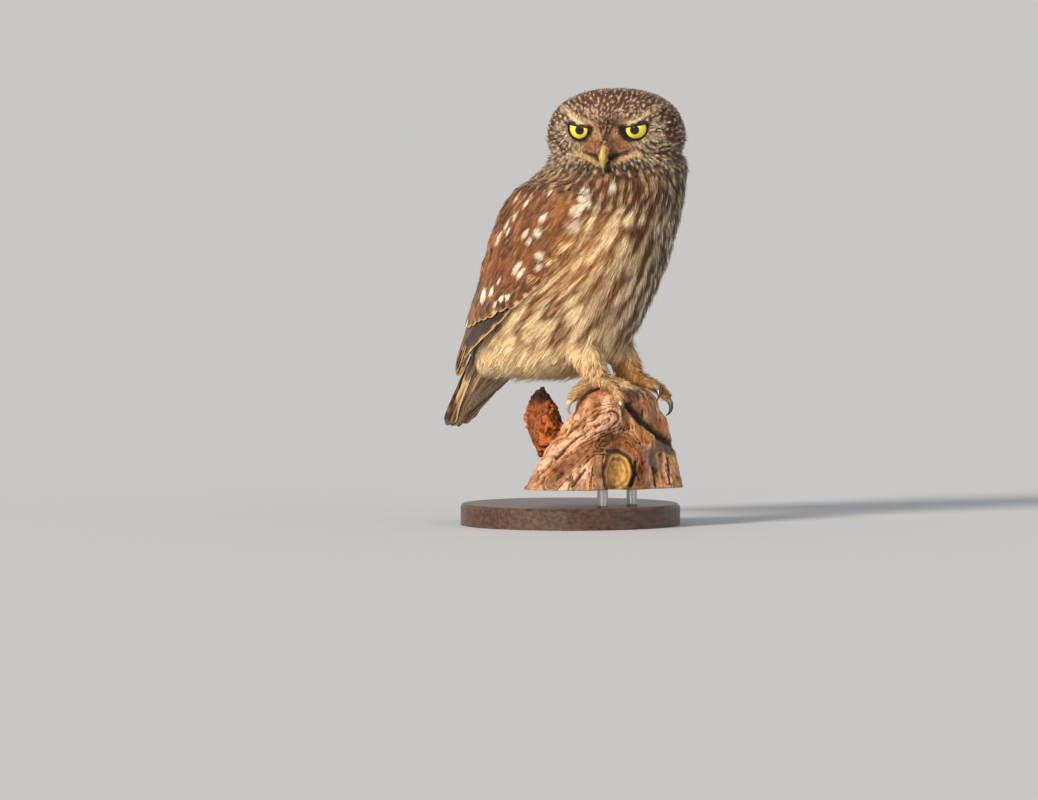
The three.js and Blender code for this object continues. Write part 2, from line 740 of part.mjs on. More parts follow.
// Pairs of tail feathers, the middle pair uppermost, with upper tail coverts over their roots
function tailSolid() {
  const feathers = [];
  for (let pair = 0; pair < TAIL_PAIRS; pair += 1) {
    const f = pair / (TAIL_PAIRS - 1);
    for (const side of [-1, 1]) {
      const root = side * lerp(TAIL_MIDDLE_APART / 4, TAIL_HALF_ROOT - TAIL_FEATHER_HALF, f);
      const tip = side * lerp(TAIL_MIDDLE_APART / 2, TAIL_HALF_TIP - TAIL_FEATHER_HALF, f);
      const reach = tailLength - TAIL_OUTER_SHORTER * f * f - (side > 0 ? TAIL_LEFT_SHORTER : 0);
      const layer = -TAIL_LAYER * pair;
      feathers.push(tailVane(root, tip, TAIL_FEATHER_START, reach, TAIL_FEATHER_HALF, layer));
    }
  }
  const { root, tip, start, half } = TAIL_COVERTS;
  const coverts = TAIL_COVERTS.shares.map((share) => {
    const end = TAIL_COVERTS.end - TAIL_COVERTS.outerShorter * share ** 2;
    const layer = TAIL_COVERTS.over - TAIL_COVERTS.outerLower * share ** 2;
    return tailVane(share * root, share * tip, start, end, half, layer);
  });
  return largest(union([tailPlug(), ...feathers, ...coverts]));
}

// The root of the tail, with its corners cut off
function tailPlug() {
  const rings = TAIL_PLUG.map(({ along, half, top, under }) => {
    const bottom = -TAIL_LAYER * (TAIL_PAIRS - 1) - under;
    const corner = half * TAIL_PLUG_CORNER;
    return [
      [-corner, top],
      [corner, top],
      [half, (top + bottom) / 2],
      [corner, bottom],
      [-corner, bottom],
      [-half, (top + bottom) / 2],
    ].map(([across, out]) => tailPoint(along, across, out));
  });
  return solidOf(loft(rings));
}

// A block of room along the tail. Stations give its half width by the place along the tail.
function tailBlock(stations, top) {
  const bottom = -TAIL_LAYER * (TAIL_PAIRS - 1) - TAIL_ROOM_UNDER - GAP;
  const rings = stations.map(({ along, half }) =>
    [
      [-half, top],
      [half, top],
      [half, bottom],
      [-half, bottom],
    ].map(([across, out]) => tailPoint(along, across, out)),
  );
  return solidOf(loft(rings));
}

// The room that the tail takes out of the wings beside it
function tailClearance() {
  const stations = [
    { along: -GAP, half: TAIL_HALF_ROOT + 1 + GAP },
    { along: 22, half: TAIL_HALF_ROOT + 2.5 + GAP },
    { along: tailLength + 1, half: TAIL_HALF_TIP + 0.5 + GAP },
  ];
  return tailBlock(stations, TAIL_ROOM_TOP + GAP);
}

// The room that the whole tail takes out of the body over it
function tailRoom() {
  const stations = [
    { along: -GAP, half: TAIL_HALF_ROOT + 2.5 + GAP },
    { along: tailLength + 2, half: TAIL_HALF_TIP + 2 + GAP },
  ];
  return tailBlock(stations, TAIL_ROOM_ABOVE);
}

// Soft white feathers under the root of the tail, which carry the body's outline on down
function ventSolid(outward) {
  const rings = VENT.map(({ along, half, deep }) => {
    const under = -TAIL_LAYER * TAIL_PAIRS;
    return Array.from({ length: VENT_SIDES }, (_, s) => {
      const angle = (s / VENT_SIDES) * 2 * Math.PI;
      const across = (half + outward) * Math.sin(angle);
      return tailPoint(along, across, under - deep + (deep + outward) * Math.cos(angle));
    });
  });
  return solidOf(loft(rings));
}

// Perch. The crown's surface is where this is 1, for heights above its rim.
function crownSum(p) {
  const n = CROWN.squareness;
  return (
    Math.abs(p.x / CROWN.side) ** n +
    Math.abs(p.y / CROWN.fore) ** n +
    Math.max((p.z + CROWN.deep) / CROWN.deep, 0) ** n
  );
}

function crownNormal(p) {
  const step = 0.01;
  const slope = (axis) => {
    const ahead = p.clone();
    const behind = p.clone();
    ahead[axis] += step;
    behind[axis] -= step;
    return crownSum(ahead) - crownSum(behind);
  };
  return new THREE.Vector3(slope("x"), slope("y"), slope("z")).normalize();
}

function crownTop(x, y) {
  const n = CROWN.squareness;
  const left = 1 - Math.abs(x / CROWN.side) ** n - Math.abs(y / CROWN.fore) ** n;
  return new THREE.Vector3(x, y, CROWN.deep * Math.max(left, 0) ** (1 / n) - CROWN.deep);
}

function ribsAt(degrees, below) {
  return RIBS.reduce((sum, rib) => {
    const off = (((degrees - rib.heading - rib.twist * below) % 360) + 540) % 360 - 180;
    return sum + rib.out * bump(off, rib.wide);
  }, 0);
}

function perchSolid(outward) {
  const rings = PERCH_DEPTHS.map((depth, i) => {
    const z = -depth;
    const inCrown = Math.max((z + CROWN.deep) / CROWN.deep, 0);
    const below = clamp((-CROWN.deep - z) / (-CROWN.deep - STUB_END), 0, 1);
    const reach = (1 - inCrown ** CROWN.squareness) ** (1 / CROWN.squareness);
    return Array.from({ length: PERCH_SIDES }, (_, s) => {
      const degrees = (s / PERCH_SIDES) * 360;
      const ribs = 1 + ribsAt(degrees, below) * Math.sqrt(below);
      const wide = CROWN.side * reach * lerp(1, STUB_FLARE.x, below) * ribs + outward;
      const deep = CROWN.fore * reach * lerp(1, STUB_FLARE.y, below) * ribs + outward;
      return new THREE.Vector3(
        wide * Math.cos(degrees * DEG) + STUB_SHIFT.x * below,
        deep * Math.sin(degrees * DEG) + STUB_SHIFT.y * below,
        z + (i === 0 ? outward : 0),
      );
    });
  });
  const spurLine = SPUR.map(({ x, y, z }) => new THREE.Vector3(x, y, z));
  const spurRadius = (at) => SPUR[Math.round(at * (SPUR.length - 1))].radius + outward;
  return solidOf(loft(rings)).add(solidOf(tube(spurLine, spurRadius, SPUR_SIDES)));
}

// Where a toe's path runs: from the foot's middle over the crown, in steps of 1 mm
function toePath(start, heading, length) {
  const points = [];
  const p = start.clone();
  for (let walked = 0; walked <= length; walked += 1) {
    const normal = crownNormal(p);
    points.push({ point: p.clone().addScaledVector(normal, TOE_THICK), normal });
    const flat = new THREE.Vector3(heading.x, heading.y, 0);
    const lean = normal.dot(flat);
    const along = flat.multiplyScalar(normal.z).add(new THREE.Vector3(0, 0, -lean)).normalize();
    p.add(along);
  }
  return points;
}

function toeAndClaw(side, toe) {
  const start = crownTop(side * FOOT_SIDE, FOOT_BACK);
  const angle = toe.heading * DEG;
  const heading = new THREE.Vector3(side * Math.sin(angle), -Math.cos(angle), 0);
  const path = toePath(start, heading, toe.length);
  const last = path.length - 1;
  const toePoints = path.filter((_, i) => i % TOE_EVERY === 0 || i === last).map((p) => p.point);
  const thickness = (at) => TOE_THICK * lerp(...TOE_TAPER, at);

  const end = path[last];
  const along = end.point.clone().sub(path[last - 2].point).normalize();
  const roomPoints = [...toePoints, end.point.clone().addScaledVector(along, GAP)];
  const toeRoom = tube(roomPoints, (at) => thickness(at) + 1, TOE_SIDES);
  const down = end.normal.clone().negate();
  const clawPoints = [];
  const p = end.point.clone().addScaledVector(along, -CLAW_SINK);
  for (let i = 0; i <= CLAW_STEPS; i += 1) {
    clawPoints.push(p.clone());
    const turned = (CLAW_LIFT + (CLAW_BEND * i) / CLAW_STEPS) * DEG;
    p.addScaledVector(along, (Math.cos(turned) * toe.claw) / CLAW_STEPS);
    p.addScaledVector(down, (Math.sin(turned) * toe.claw) / CLAW_STEPS);
  }
  const hornRadius = (at) => CLAW_THICK * (1 - at ** CLAW_TAPER) + CLAW_TIP;
  const horn = tube(clawPoints, hornRadius, CLAW_SIDES);
  return {
    toe: solidOf(tube(toePoints, thickness, TOE_SIDES)),
    claw: largest(solidOf(horn).subtract(solidOf(toeRoom))),
  };
}

function shankSolid(side) {
  const foot = crownTop(side * FOOT_SIDE, FOOT_BACK);
  const points = SHANK.map(({ out, back, up }) =>
    foot.clone().add(new THREE.Vector3(side * out, back, up)),
  );
  return solidOf(tube(points, (at) => lerp(PAD_RADIUS, SHANK_TOP_RADIUS, at), SHANK_SIDES));
}

// Builds all the solids, cut clear of one another
function owlSolids() {
  const solids = new Map();
  const flesh = (outward) =>
    union([headSolid, neckSolid, torsoSolid, ventSolid].map((part) => part(outward)));
  const whole = flesh(0);
  const wholeRoom = flesh(GAP);
  const perchRoom = perchSolid(GAP);

  let head = whole.intersect(halfSpace(HEAD_CUT + GAP / 2, true));
  for (const side of [-1, 1]) {
    const name = side > 0 ? "left" : "right";
    head = head
      .add(eyeSolid(side, EYE.radius + GAP + LID_THICK))
      .subtract(lidOpening(side))
      .subtract(eyeSolid(side, EYE.radius + GAP))
      .subtract(mouthGroove(side));
    solids.set(`eye_${name}`, eyeSolid(side, EYE.radius));
  }
  const upper = billPiece(BILL_TOP, 0).subtract(wholeRoom);
  const nostrils = union(
    [-1, 1].map((side) => {
      const { round, tall } = NOSTRIL_SIDES;
      const pit = new THREE.SphereGeometry(NOSTRIL.radius, round, tall);
      pit.translate(side * NOSTRIL.side, -NOSTRIL.forward, NOSTRIL.up);
      return inHead(pit);
    }),
  );
  solids.set("bill_upper", largest(upper.subtract(nostrils)));
  const lower = billPiece(BILL_LOWER, 0).subtract(wholeRoom).subtract(billPiece(BILL_TOP, GAP));
  solids.set("bill_lower", largest(lower));
  solids.set("head", largest(head));
  const neck = whole.intersect(halfSpace(HEAD_CUT - GAP / 2, false));
  solids.set("neck", largest(neck.intersect(halfSpace(NECK_CUT + GAP / 2, true))));

  const torso = whole.intersect(halfSpace(NECK_CUT - GAP / 2, false));
  solids.set("torso", largest(torso.subtract(tailRoom())));
  solids.set("tail", tailSolid());

  for (const side of [-1, 1]) {
    const name = side > 0 ? "left" : "right";
    solids.set(`wing_${name}`, wingSolid(side, wholeRoom));
    const parts = TOES.map((toe) => ({ ...toeAndClaw(side, toe), name: toe.name }));
    const limb = union([shankSolid(side), ...parts.map((part) => part.toe)])
      .subtract(perchRoom)
      .subtract(wholeRoom);
    solids.set(`leg_${name}`, largest(limb.intersect(halfSpace(ANKLE_HEIGHT + GAP / 2, true))));
    solids.set(`foot_${name}`, largest(limb.intersect(halfSpace(ANKLE_HEIGHT - GAP / 2, false))));
    for (const part of parts) {
      solids.set(`claw_${name}_${part.name}`, largest(part.claw.subtract(perchRoom)));
    }
  }
  solids.set("perch", perchSolid(0));
  return solids;
}

function materialFor(name) {
  if (name.startsWith("wing") || name === "tail") return MATERIALS.wing;
  if (name.startsWith("leg") || name.startsWith("foot")) return MATERIALS.leg;
  if (name.startsWith("eye")) return MATERIALS.eye;
  if (name.startsWith("bill")) return MATERIALS.bill;
  if (name.startsWith("claw")) return MATERIALS.claw;
  return name === "perch" ? MATERIALS.wood : MATERIALS.plumage;
}

const IN_HEAD = ["head", "bill_upper", "bill_lower", "eye_left", "eye_right"];

function named(name, geometry, look) {
  const mesh = new THREE.Mesh(geometry, look);
  mesh.name = name;
  return mesh;
}

function buildOwl() {
  const owl = new THREE.Group();
  const headGroup = new THREE.Group();
  headGroup.applyMatrix4(headFrame);
  owl.add(headGroup);
  for (const [name, solid] of owlSolids()) {
    const mesh = named(name, geometryOf(solid), materialFor(name));
    if (IN_HEAD.includes(name)) {
      mesh.geometry.applyMatrix4(headFrameBack);
      headGroup.add(mesh);
    } else {
      owl.add(mesh);
    }
  }
  return owl;
}

// A flat round base with a chamfered rim, and the rods between it and the sawn face of the wood
function buildStand() {
  const stand = new THREE.Group();
  const outline = [
    [0, 0],
    [BASE_RADIUS, 0],
    [BASE_RADIUS, BASE_THICK - BASE_CHAMFER],
    [BASE_RADIUS - BASE_CHAMFER, BASE_THICK],
    [0, BASE_THICK],
  ].map(([r, h]) => new THREE.Vector2(r, h));
  const disc = new THREE.LatheGeometry(outline, BASE_SIDES).rotateX(Math.PI / 2);
  const base = named("stand_base", geometryOf(solidOf(disc)), MATERIALS.base);
  base.position.set(0, BASE_BACK, 0);
  stand.add(base);
  for (const [name, side] of [
    ["right", -1],
    ["left", 1],
  ]) {
    const shape = new THREE.CylinderGeometry(ROD_RADIUS, ROD_RADIUS, ROD_LENGTH - 2 * GAP, ROD_SIDES);
    const upright = geometryOf(solidOf(shape.rotateX(Math.PI / 2)));
    const rod = named(`stand_rod_${name}`, upright, MATERIALS.rod);
    rod.position.set((side * ROD_APART) / 2, 0, BASE_THICK + ROD_LENGTH / 2);
    stand.add(rod);
  }
  return stand;
}

// The whole model, with the middle of its bounding box's foot at the origin
function buildModel() {
  const model = new THREE.Group();
  const owl = buildOwl();
  owl.position.z = BASE_THICK + ROD_LENGTH - STUB_END;
  model.add(owl, buildStand());
  model.updateMatrixWorld(true);
  const box = new THREE.Box3().setFromObject(model, true);
  const middle = box.getCenter(new THREE.Vector3());
  for (const part of model.children) part.position.sub(new THREE.Vector3(middle.x, middle.y, 0));
  return model;
}

export default buildModel();
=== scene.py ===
import itertools
import math

import bpy
import numpy as np
from mathutils import Matrix, Vector
from mathutils.bvhtree import BVHTree
from mathutils.kdtree import KDTree


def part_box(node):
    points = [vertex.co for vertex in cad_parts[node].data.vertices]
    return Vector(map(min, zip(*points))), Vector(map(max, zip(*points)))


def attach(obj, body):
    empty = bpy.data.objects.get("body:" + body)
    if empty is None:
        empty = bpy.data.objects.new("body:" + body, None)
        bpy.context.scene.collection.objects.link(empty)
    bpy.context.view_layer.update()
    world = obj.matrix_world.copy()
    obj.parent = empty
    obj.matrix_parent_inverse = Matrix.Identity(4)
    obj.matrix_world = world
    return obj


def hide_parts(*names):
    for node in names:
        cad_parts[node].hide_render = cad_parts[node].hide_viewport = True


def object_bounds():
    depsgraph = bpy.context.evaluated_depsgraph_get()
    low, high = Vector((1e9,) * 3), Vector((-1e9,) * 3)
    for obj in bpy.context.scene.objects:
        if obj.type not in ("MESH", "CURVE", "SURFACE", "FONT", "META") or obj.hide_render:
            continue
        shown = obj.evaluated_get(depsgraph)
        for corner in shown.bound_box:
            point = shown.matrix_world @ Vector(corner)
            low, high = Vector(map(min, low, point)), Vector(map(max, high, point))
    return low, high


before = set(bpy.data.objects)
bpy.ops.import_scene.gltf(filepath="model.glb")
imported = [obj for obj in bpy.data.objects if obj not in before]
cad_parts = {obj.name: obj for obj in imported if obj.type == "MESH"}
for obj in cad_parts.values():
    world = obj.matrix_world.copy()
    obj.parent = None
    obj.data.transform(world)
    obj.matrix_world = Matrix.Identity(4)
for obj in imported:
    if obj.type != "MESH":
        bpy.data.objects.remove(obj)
cad_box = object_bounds()

# A little owl on a short piece of dead wood over a round base. Sizes below are millimetres from the
# middle of the feet on top of the wood; +Z is up, the owl's body faces -Y and its left is +X.


def srgb(code):
    """Linear colour from the usual six hexadecimal digits."""
    values = np.array([int(code[i : i + 2], 16) for i in (0, 2, 4)]) / 255
    return np.where(values <= 0.04045, values / 12.92, ((values + 0.055) / 1.055) ** 2.4)


def mix(a, b, t):
    return a + (b - a) * t


def blend_colours(a, b, t):
    return a + (b - a) * np.asarray(t)[..., None]


def layered(colour, *layers):
    """A colour with others laid over it in turn, each with its own share."""
    for tint, share in layers:
        colour = blend_colours(colour, tint, share)
    return colour


def smooth(edge0, edge1, value):
    t = np.clip((value - edge0) / (edge1 - edge0), 0, 1)
    return t * t * (3 - 2 * t)


def unit(vectors):
    return vectors / np.maximum(np.linalg.norm(vectors, axis=-1, keepdims=True), 1e-9)


MM = 0.001

# Camera: the width that the picture takes in at the owl, where its middle lies beside the feet, and
# how far the camera sees, in metres
VIEW_AZIMUTH = -50.0
VIEW_ELEVATION = 2.0
VIEW_WIDTH = 581.0
VIEW_MIDDLE_ACROSS = -55.0
VIEW_MIDDLE_UP = -8.4
CAMERA_DISTANCE = 3000.0
CAMERA_REACH = 50
SENSOR_WIDTH = 36.0
PICTURE_WIDTH = 1038
PICTURE_HEIGHT = 800

# Lights: direction along the view's right, up and towards the camera, then angle, strength and colour
LIGHTS = {
    "key": ((-0.85, 0.55, 0.85), 14, 4.4, (1.0, 0.885, 0.72)),
    "fill": ((1.0, 0.35, 0.9), 60, 0.5, (1.0, 0.95, 0.88)),
    "catch": ((-0.25, 0.0, 0.97), 12, 0.3, (1.0, 0.98, 0.95)),
}
WORLD_COLOUR = (0.93, 0.92, 0.9, 1)
WORLD_STRENGTH = 0.62
FLOOR_COLOUR = (0.468, 0.492, 0.533, 1)
FLOOR_HALF = 60000.0

# Head: its middle, its turn to the owl's right and its nod, and what sits on its face
HEAD_MIDDLE = np.array([0.0, 0.6, 139.8])
HEAD_TURN = -63.0
HEAD_NOD = 3.0
BILL_BASE = np.array([0.0, -31.0, -7.0])
EYE_SIDE = 14.6
EYE_FRONT = -22.0
EYE_UP = 4.4

# Eyes: how far each is turned to its own side, how far they look down, and their rings, in degrees
# and millimetres
EYE_LOOK = {"right": 4, "left": 10}
EYE_GAZE = 9.0
IRIS_RADIUS = 7.4
PUPIL_RADIUS = 2.5
CORNEA_BULGE = 0.55
EYE_RINGS = 72
EYE_SEGMENTS = 96

# Lids: what they leave open, how the upper one slants, and their dark rims
LID_OUTWARD = 16.0
LID_OUTER = 6.1
LID_INNER = 5.4
LID_LOW = 5.2
LID_TOP = 1.75
LID_SLANT = 10
LID_BEND = 3.0
LID_RIM = 1.35
LID_CORNER = {"right": 0.5, "left": 1.5}
LID_REACH = 9.8
LID_SECTIONS = 16
LID_SEGMENTS = 120

# Body: where head and neck meet, the middle of each leg, and the upright line that wings are set round
NECK_LOW = 112
NECK_HIGH = 124
LEG_SIDE = 15.0
LEG_MIDDLE = 1.0
BODY_MIDDLE = np.array([0.0, 30.0, 62.0])
AXIS_FORWARD = 11
AXIS_HEIGHT = 108
AXIS_SLOPE = 0.44
LEG_NODES = ["leg_right", "leg_left", "foot_right", "foot_left"]
FLESH_NODES = ["head", "neck", "torso", *LEG_NODES]
WING_NODES = ["wing_right", "wing_left"]

# How deep the skin lies under the solids' surface, which is where the coat's tips end
DEPTH_BODY = 2.6
DEPTH_HEAD = 1.5
DEPTH_FACE = 0.9
DEPTH_LEG = 1.3
DEPTH_TOE = 0.7

# Edge of the remeshing's cells, and how far a smooth form lies under the solids
SKIN_VOXEL = 1.1
FORM_VOXEL = 1.5
BILL_VOXEL = 0.28
CLAW_VOXEL = 0.26
WOOD_VOXEL = 0.5
WING_SINK = 1.7

# Places that are tried for each one that fits
SCATTER_TRIES = 3.2

# Regions of the coat by height, and by distance behind the breast
NECK_START = 103
BELLY_TOP = 66
TOE_TOP = 6.5
BACK_START = 52
RUMP_START = 70
LIDS_FROM = 7.4
LIDS_TO = 10.6
EYE_CLEARANCE = 7.9
WING_OVER = 9.0

# Tufts of each region: room and length, half width of tuft and barb, how many barbs and stations, and
# how far the tips rise
LEG_COAT = dict(spacing=1.5, length=8.0, half=1.5, barb=0.22, barbs=6, stations=3, rise=3.0)
TOE_COAT = dict(spacing=0.95, length=4.6, half=1.0, barb=0.17, barbs=4, stations=3, rise=2.3)
COAT = {
    "eyelids": dict(spacing=0.62, length=2.4, half=0.62, barb=0.13, barbs=4, stations=2, rise=0.6),
    "face": dict(spacing=1.0, length=3.2, half=0.95, barb=0.16, barbs=4, stations=2, rise=0.75),
    "crown": dict(spacing=1.4, length=4.8, half=1.15, barb=0.2, barbs=5, stations=3, rise=1.45),
    "neck": dict(spacing=1.75, length=10.0, half=1.8, barb=0.22, barbs=8, stations=3, rise=2.3),
    "breast": dict(spacing=2.1, length=13.0, half=2.6, barb=0.25, barbs=11, stations=3, rise=2.7),
    "belly": dict(spacing=2.2, length=15.0, half=2.9, barb=0.26, barbs=11, stations=4, rise=2.9),
    "back": dict(spacing=2.35, length=13.0, half=3.2, barb=0.29, barbs=11, stations=3, rise=2.3),
    "rump": dict(spacing=2.3, length=13.0, half=3.0, barb=0.28, barbs=11, stations=3, rise=2.0),
    "leg_right": LEG_COAT,
    "leg_left": LEG_COAT,
    "foot_right": TOE_COAT,
    "foot_left": TOE_COAT,
}
HEAD_REGIONS = ("eyelids", "face", "crown")
COAT_STEPS = 5
FRINGE_HANG = 2.6

# The belly's and the rump's fringe starts and is whole at these heights
FRINGES = {"belly": (20, 7), "rump": (34, 12)}

# Finer tufts round the bill and the eyes, in the same way, with how far they stand free
FINE_BARBS = 4
SHORT_TUFT = dict(length=(1.8, 2.8), barb=0.12, stations=2)
BRISTLES = dict(spacing=0.62, length=(3.6, 6.0), half=0.6, barb=0.1, stations=3, rise=(1.2, 2.8), free=0.85)
BILL_COAT = dict(SHORT_TUFT, spacing=0.5, half=0.55, rise=(0.6, 1.2), free=0.5)
LID_COAT = dict(SHORT_TUFT, spacing=0.6, half=0.6, rise=(0.35, 0.8), free=0.3)
FINE_STEPS = 4

# Shares by which barbs and tufts differ in tone, and painted shade: how much of their colour a tuft's
# root, the skin and the wing's core keep beside their feathers, darkened as though in the coat's shade
BARB_TONE = 0.12
TUFT_TONE = 0.07
ROOT_PAINTED_SHADE = 0.58
SKIN_PAINTED_SHADE = 0.5
CORE_PAINTED_SHADE = 0.6

# How far a barb takes its markings from beside its own place, on the head and on the body
HEAD_SLIP = 0.3
BODY_SLIP = 0.9

# Tufts over the wings and along their front edge, in the same way, with how far barbs spread at a
# tuft's root and how far they take their markings from
COVERTS = dict(half=(2.2, 3.2), barbs=11, rise=(1.1, 1.8), root_spread=0.35, slip=0.5)
WING_EDGE = dict(half=(2.2, 3.0), barbs=9, rise=(2.0, 3.2), root_spread=0.25, slip=BODY_SLIP)
COVERT_LENGTH = (10, 14)
COVERT_STATIONS = 4
COVERT_BARB = 0.3

# Seeds: one for each piece of the coat and each set of markings. What a piece needs more counts on
# from its own.
MARK_SEED = 77
BACK_MARK_SEED = 81
COAT_SEED = 1000
COAT_SEED_STEP = 17
BRISTLE_SEED = 91
BILL_FEATHER_SEED = 95
LID_COAT_SEED = 95
COVERT_SEED = 400
WING_EDGE_SEED = 440
FLIGHT_SEED = 500
TAIL_SEED = 61
TAIL_COVERT_SEED = 63
TAIL_ROOT_SEED = 66

# Bare part of the bill: where it starts, how it widens downward, and how far feathers reach beside it
BILL_TOP = -1.7
BARE_WIDENING = 0.36
FEATHERED_LENGTH = 7.6

# How pale the horn of a claw is
DARK_CLAW = 0.12
PALE_CLAW = 0.75

# Wings: heights and shares of the breadth at which a wing's face is measured, and room of its coverts
WING_LEVELS = np.linspace(6, 111, 22)
FACE_SHARES = np.linspace(-0.1, 1.1, 13)
FACE_ENDS = 15.0
COVERT_SPACING = 2.0
EASE_PASSES = 3
COVERT_STEPS = 6
CORE_ROWS = 30
CORE_COLUMNS = 15
CORE_THICKNESS = 4.2

# Tiers of long feathers, from the wing's lower edge to its upper one: shares of the first and the
# last, heights of their roots, half widths and how far root and tip stand off the core. The tips of
# a tier end on an arc with its lowest point at one share.
LOWER_TIER = dict(count=14, share=(0.06, 0.88), root=(50, 60), half=(3.2, 4.4), rise=(-1.0, 0.5))
UPPER_TIER = dict(count=11, share=(0.06, 0.92), root=(66, 72), half=(3.6, 4.8), rise=(-0.5, 1.2))
FLIGHT_TIERS = [
    dict(LOWER_TIER, tip=3.5, arc=62, lowest=0.43),
    dict(UPPER_TIER, tip=31, arc=26, lowest=0.75),
]
FLIGHT_ROLL = 0.12

# Vanes: shares of the half width at which a vane has points, its rows, thickness and camber
VANE_COLUMNS = np.array([-1, -0.9, -0.7, -0.45, -0.2, -0.07, 0, 0.07, 0.2, 0.45, 0.7, 0.9, 1])
VANE_ROWS = 26
VANE_THICKNESS = 0.26
VANE_CAMBER = 0.16

# Tail: its line, its pairs of feathers, and the soft part under it by distance along that line
TAIL_ROOT = np.array([0.0, 85.0, 48.0])
TAIL_TIP = np.array([0.0, 124.0, -25.0])
TAIL_PAIRS = 6
TAIL_LAYER = 0.7
VENT_ALONG = [14, 30, 44, 56, 66, 74]
VENT_HALF = [20, 19, 16, 12, 8.5, 5]
VENT_DEEP = [12, 10.5, 8, 5, 2.6, 1.2]
TAIL_ROOT_TUFTS = 950

# Lines on the face, across from its middle and up
BROW = [(7.6, 5.9), (11.5, 7.9), (16.0, 9.9), (20.3, 12.2), (27.5, 15.8)]
BROW_LINE = [(6.5, 5.0), (11.8, 7.4), (16.0, 8.2), (18.9, 9.9), (22.5, 12.6)]
GAPE_ARC = [(4.2, -14.8), (10.5, -11.4), (17.2, -9.6), (20.5, -11.2)]
MOUTH_LINE = [(3.3, -11.6), (7.0, -10.1), (11.5, -8.8)]
BILL_PATCH = [(4.2, -5.5), (12.0, -6.6)]

# Directions that fine streaks follow on the face, the breast and the wings
FACE_GRAIN = (0.6, 0, -0.8)
BREAST_GRAIN = (0, 0.7, -0.7)
WING_GRAIN = (0, 0.53, -0.85)

# Pale spots on the shoulders: pixels of the picture, then length and width in millimetres
SHOULDER_SPOTS = [
    (577, 211, 7.5, 5.5),
    (586, 202, 6.5, 7.0),
    (585, 192, 5.0, 5.5),
    (613, 188, 6.0, 4.0),
    (575, 226, 8.5, 5.5),
]

# Pale spots on the coverts of the wing that the picture shows, in the same way. The other wing has
# the same ones.
WING_SPOTS = [
    (517, 199, 6.1, 2.2),
    (527, 204, 5.0, 2.8),
    (550, 193, 3.3, 2.2),
    (516, 216, 5.5, 2.4),
    (508, 225, 8.2, 2.8),
    (509, 232, 5.0, 2.0),
    (500, 238, 8.8, 3.2),
    (490, 251, 5.5, 2.8),
    (544, 218, 5.0, 3.6),
    (526, 234, 6.1, 3.0),
    (538, 233, 5.0, 5.8),
    (530, 241, 5.1, 2.6),
    (540, 256, 5.1, 5.2),
    (539, 267, 3.7, 3.6),
    (518, 268, 9.4, 3.2),
    (522, 273, 8.8, 3.2),
    (485, 296, 9.4, 5.8),
    (493, 291, 6.6, 3.2),
    (503, 298, 4.4, 2.8),
    (509, 296, 4.4, 2.5),
    (500, 281, 4.4, 1.8),
    (496, 304, 4.4, 2.0),
    (471, 325, 6.6, 2.5),
    (577, 211, 7.7, 6.2),
    (586, 201, 6.6, 8.8),
    (585, 191, 5.5, 6.2),
    (575, 226, 8.8, 6.9),
]

# What the wood's near side shows, by pixels of the picture
WOOD_RIDGE = [(612, 418), (588, 431), (559, 450), (536, 470), (527, 481)]
WOOD_ARCH = [(553, 483), (566, 468), (585, 451), (605, 443), (628, 443), (640, 456), (641, 482)]
WOOD_HOLLOW = [(628, 405), (637, 416), (649, 427), (666, 440), (674, 446)]
WOOD_GREY_PATCHES = [[(651, 454), (655, 468)], [(662, 446), (673, 452)]]
WOOD_CRACKS = [
    [(636, 462), (636, 474), (631, 486)],
    [(655, 468), (656, 486)],
    [(668, 458), (670, 484)],
    [(585, 470), (572, 486)],
    [(600, 425), (578, 438), (556, 458)],
]
KNOT = (615.5, 473)
KNOT_RADIUS = 9.5
KNOT_STRETCH = 1.2

# The spur behind the wood: its middle line and how thick it is there
SPUR_LINE = np.array([[-14, 16, -50], [-22, 24, -38], [-27, 29, -26], [-29, 31, -15], [-28, 33, -5]], float)
SPUR_RADIUS = [12, 11, 11.5, 10, 5]

# Size of each tuft's own patch in the bake map, and how much of the map the directions fill
BAKE_PATCH = 0.003
BAKE_SPREAD = 0.49

# Colours of the head
CROWN_DARK = srgb("381e10")
CROWN_PALE = srgb("d8bfa2")
FOREHEAD_DARK = srgb("5e3420")
FLECK_DARK = srgb("3f2114")
FLECK_PALE = srgb("e0b987")
BROW_PALE = srgb("e6d2b2")
LORES = srgb("d0a57a")
LORES_DEEP = srgb("74431f")
BILL_SIDE = srgb("7c4522")
CHEEK_DARK = srgb("402414")
CHEEK_PALE = srgb("ead2b0")
GAPE = srgb("d6aa6c")
CHIN_DARK = srgb("1b120d")
CHIN_PALE = srgb("c8ac88")
RIM_DARK = srgb("17100c")
LID_BLACK = srgb("17100d")
IRIS_YELLOW = srgb("fbe73c")
IRIS_DEEP = srgb("e2b01c")
PUPIL_BLACK = srgb("050505")
EYE_RIM = srgb("1a120c")
BILL_GREEN = srgb("86753a")
BILL_YELLOW = srgb("b99c4e")
BILL_ROOT = srgb("5c5038")

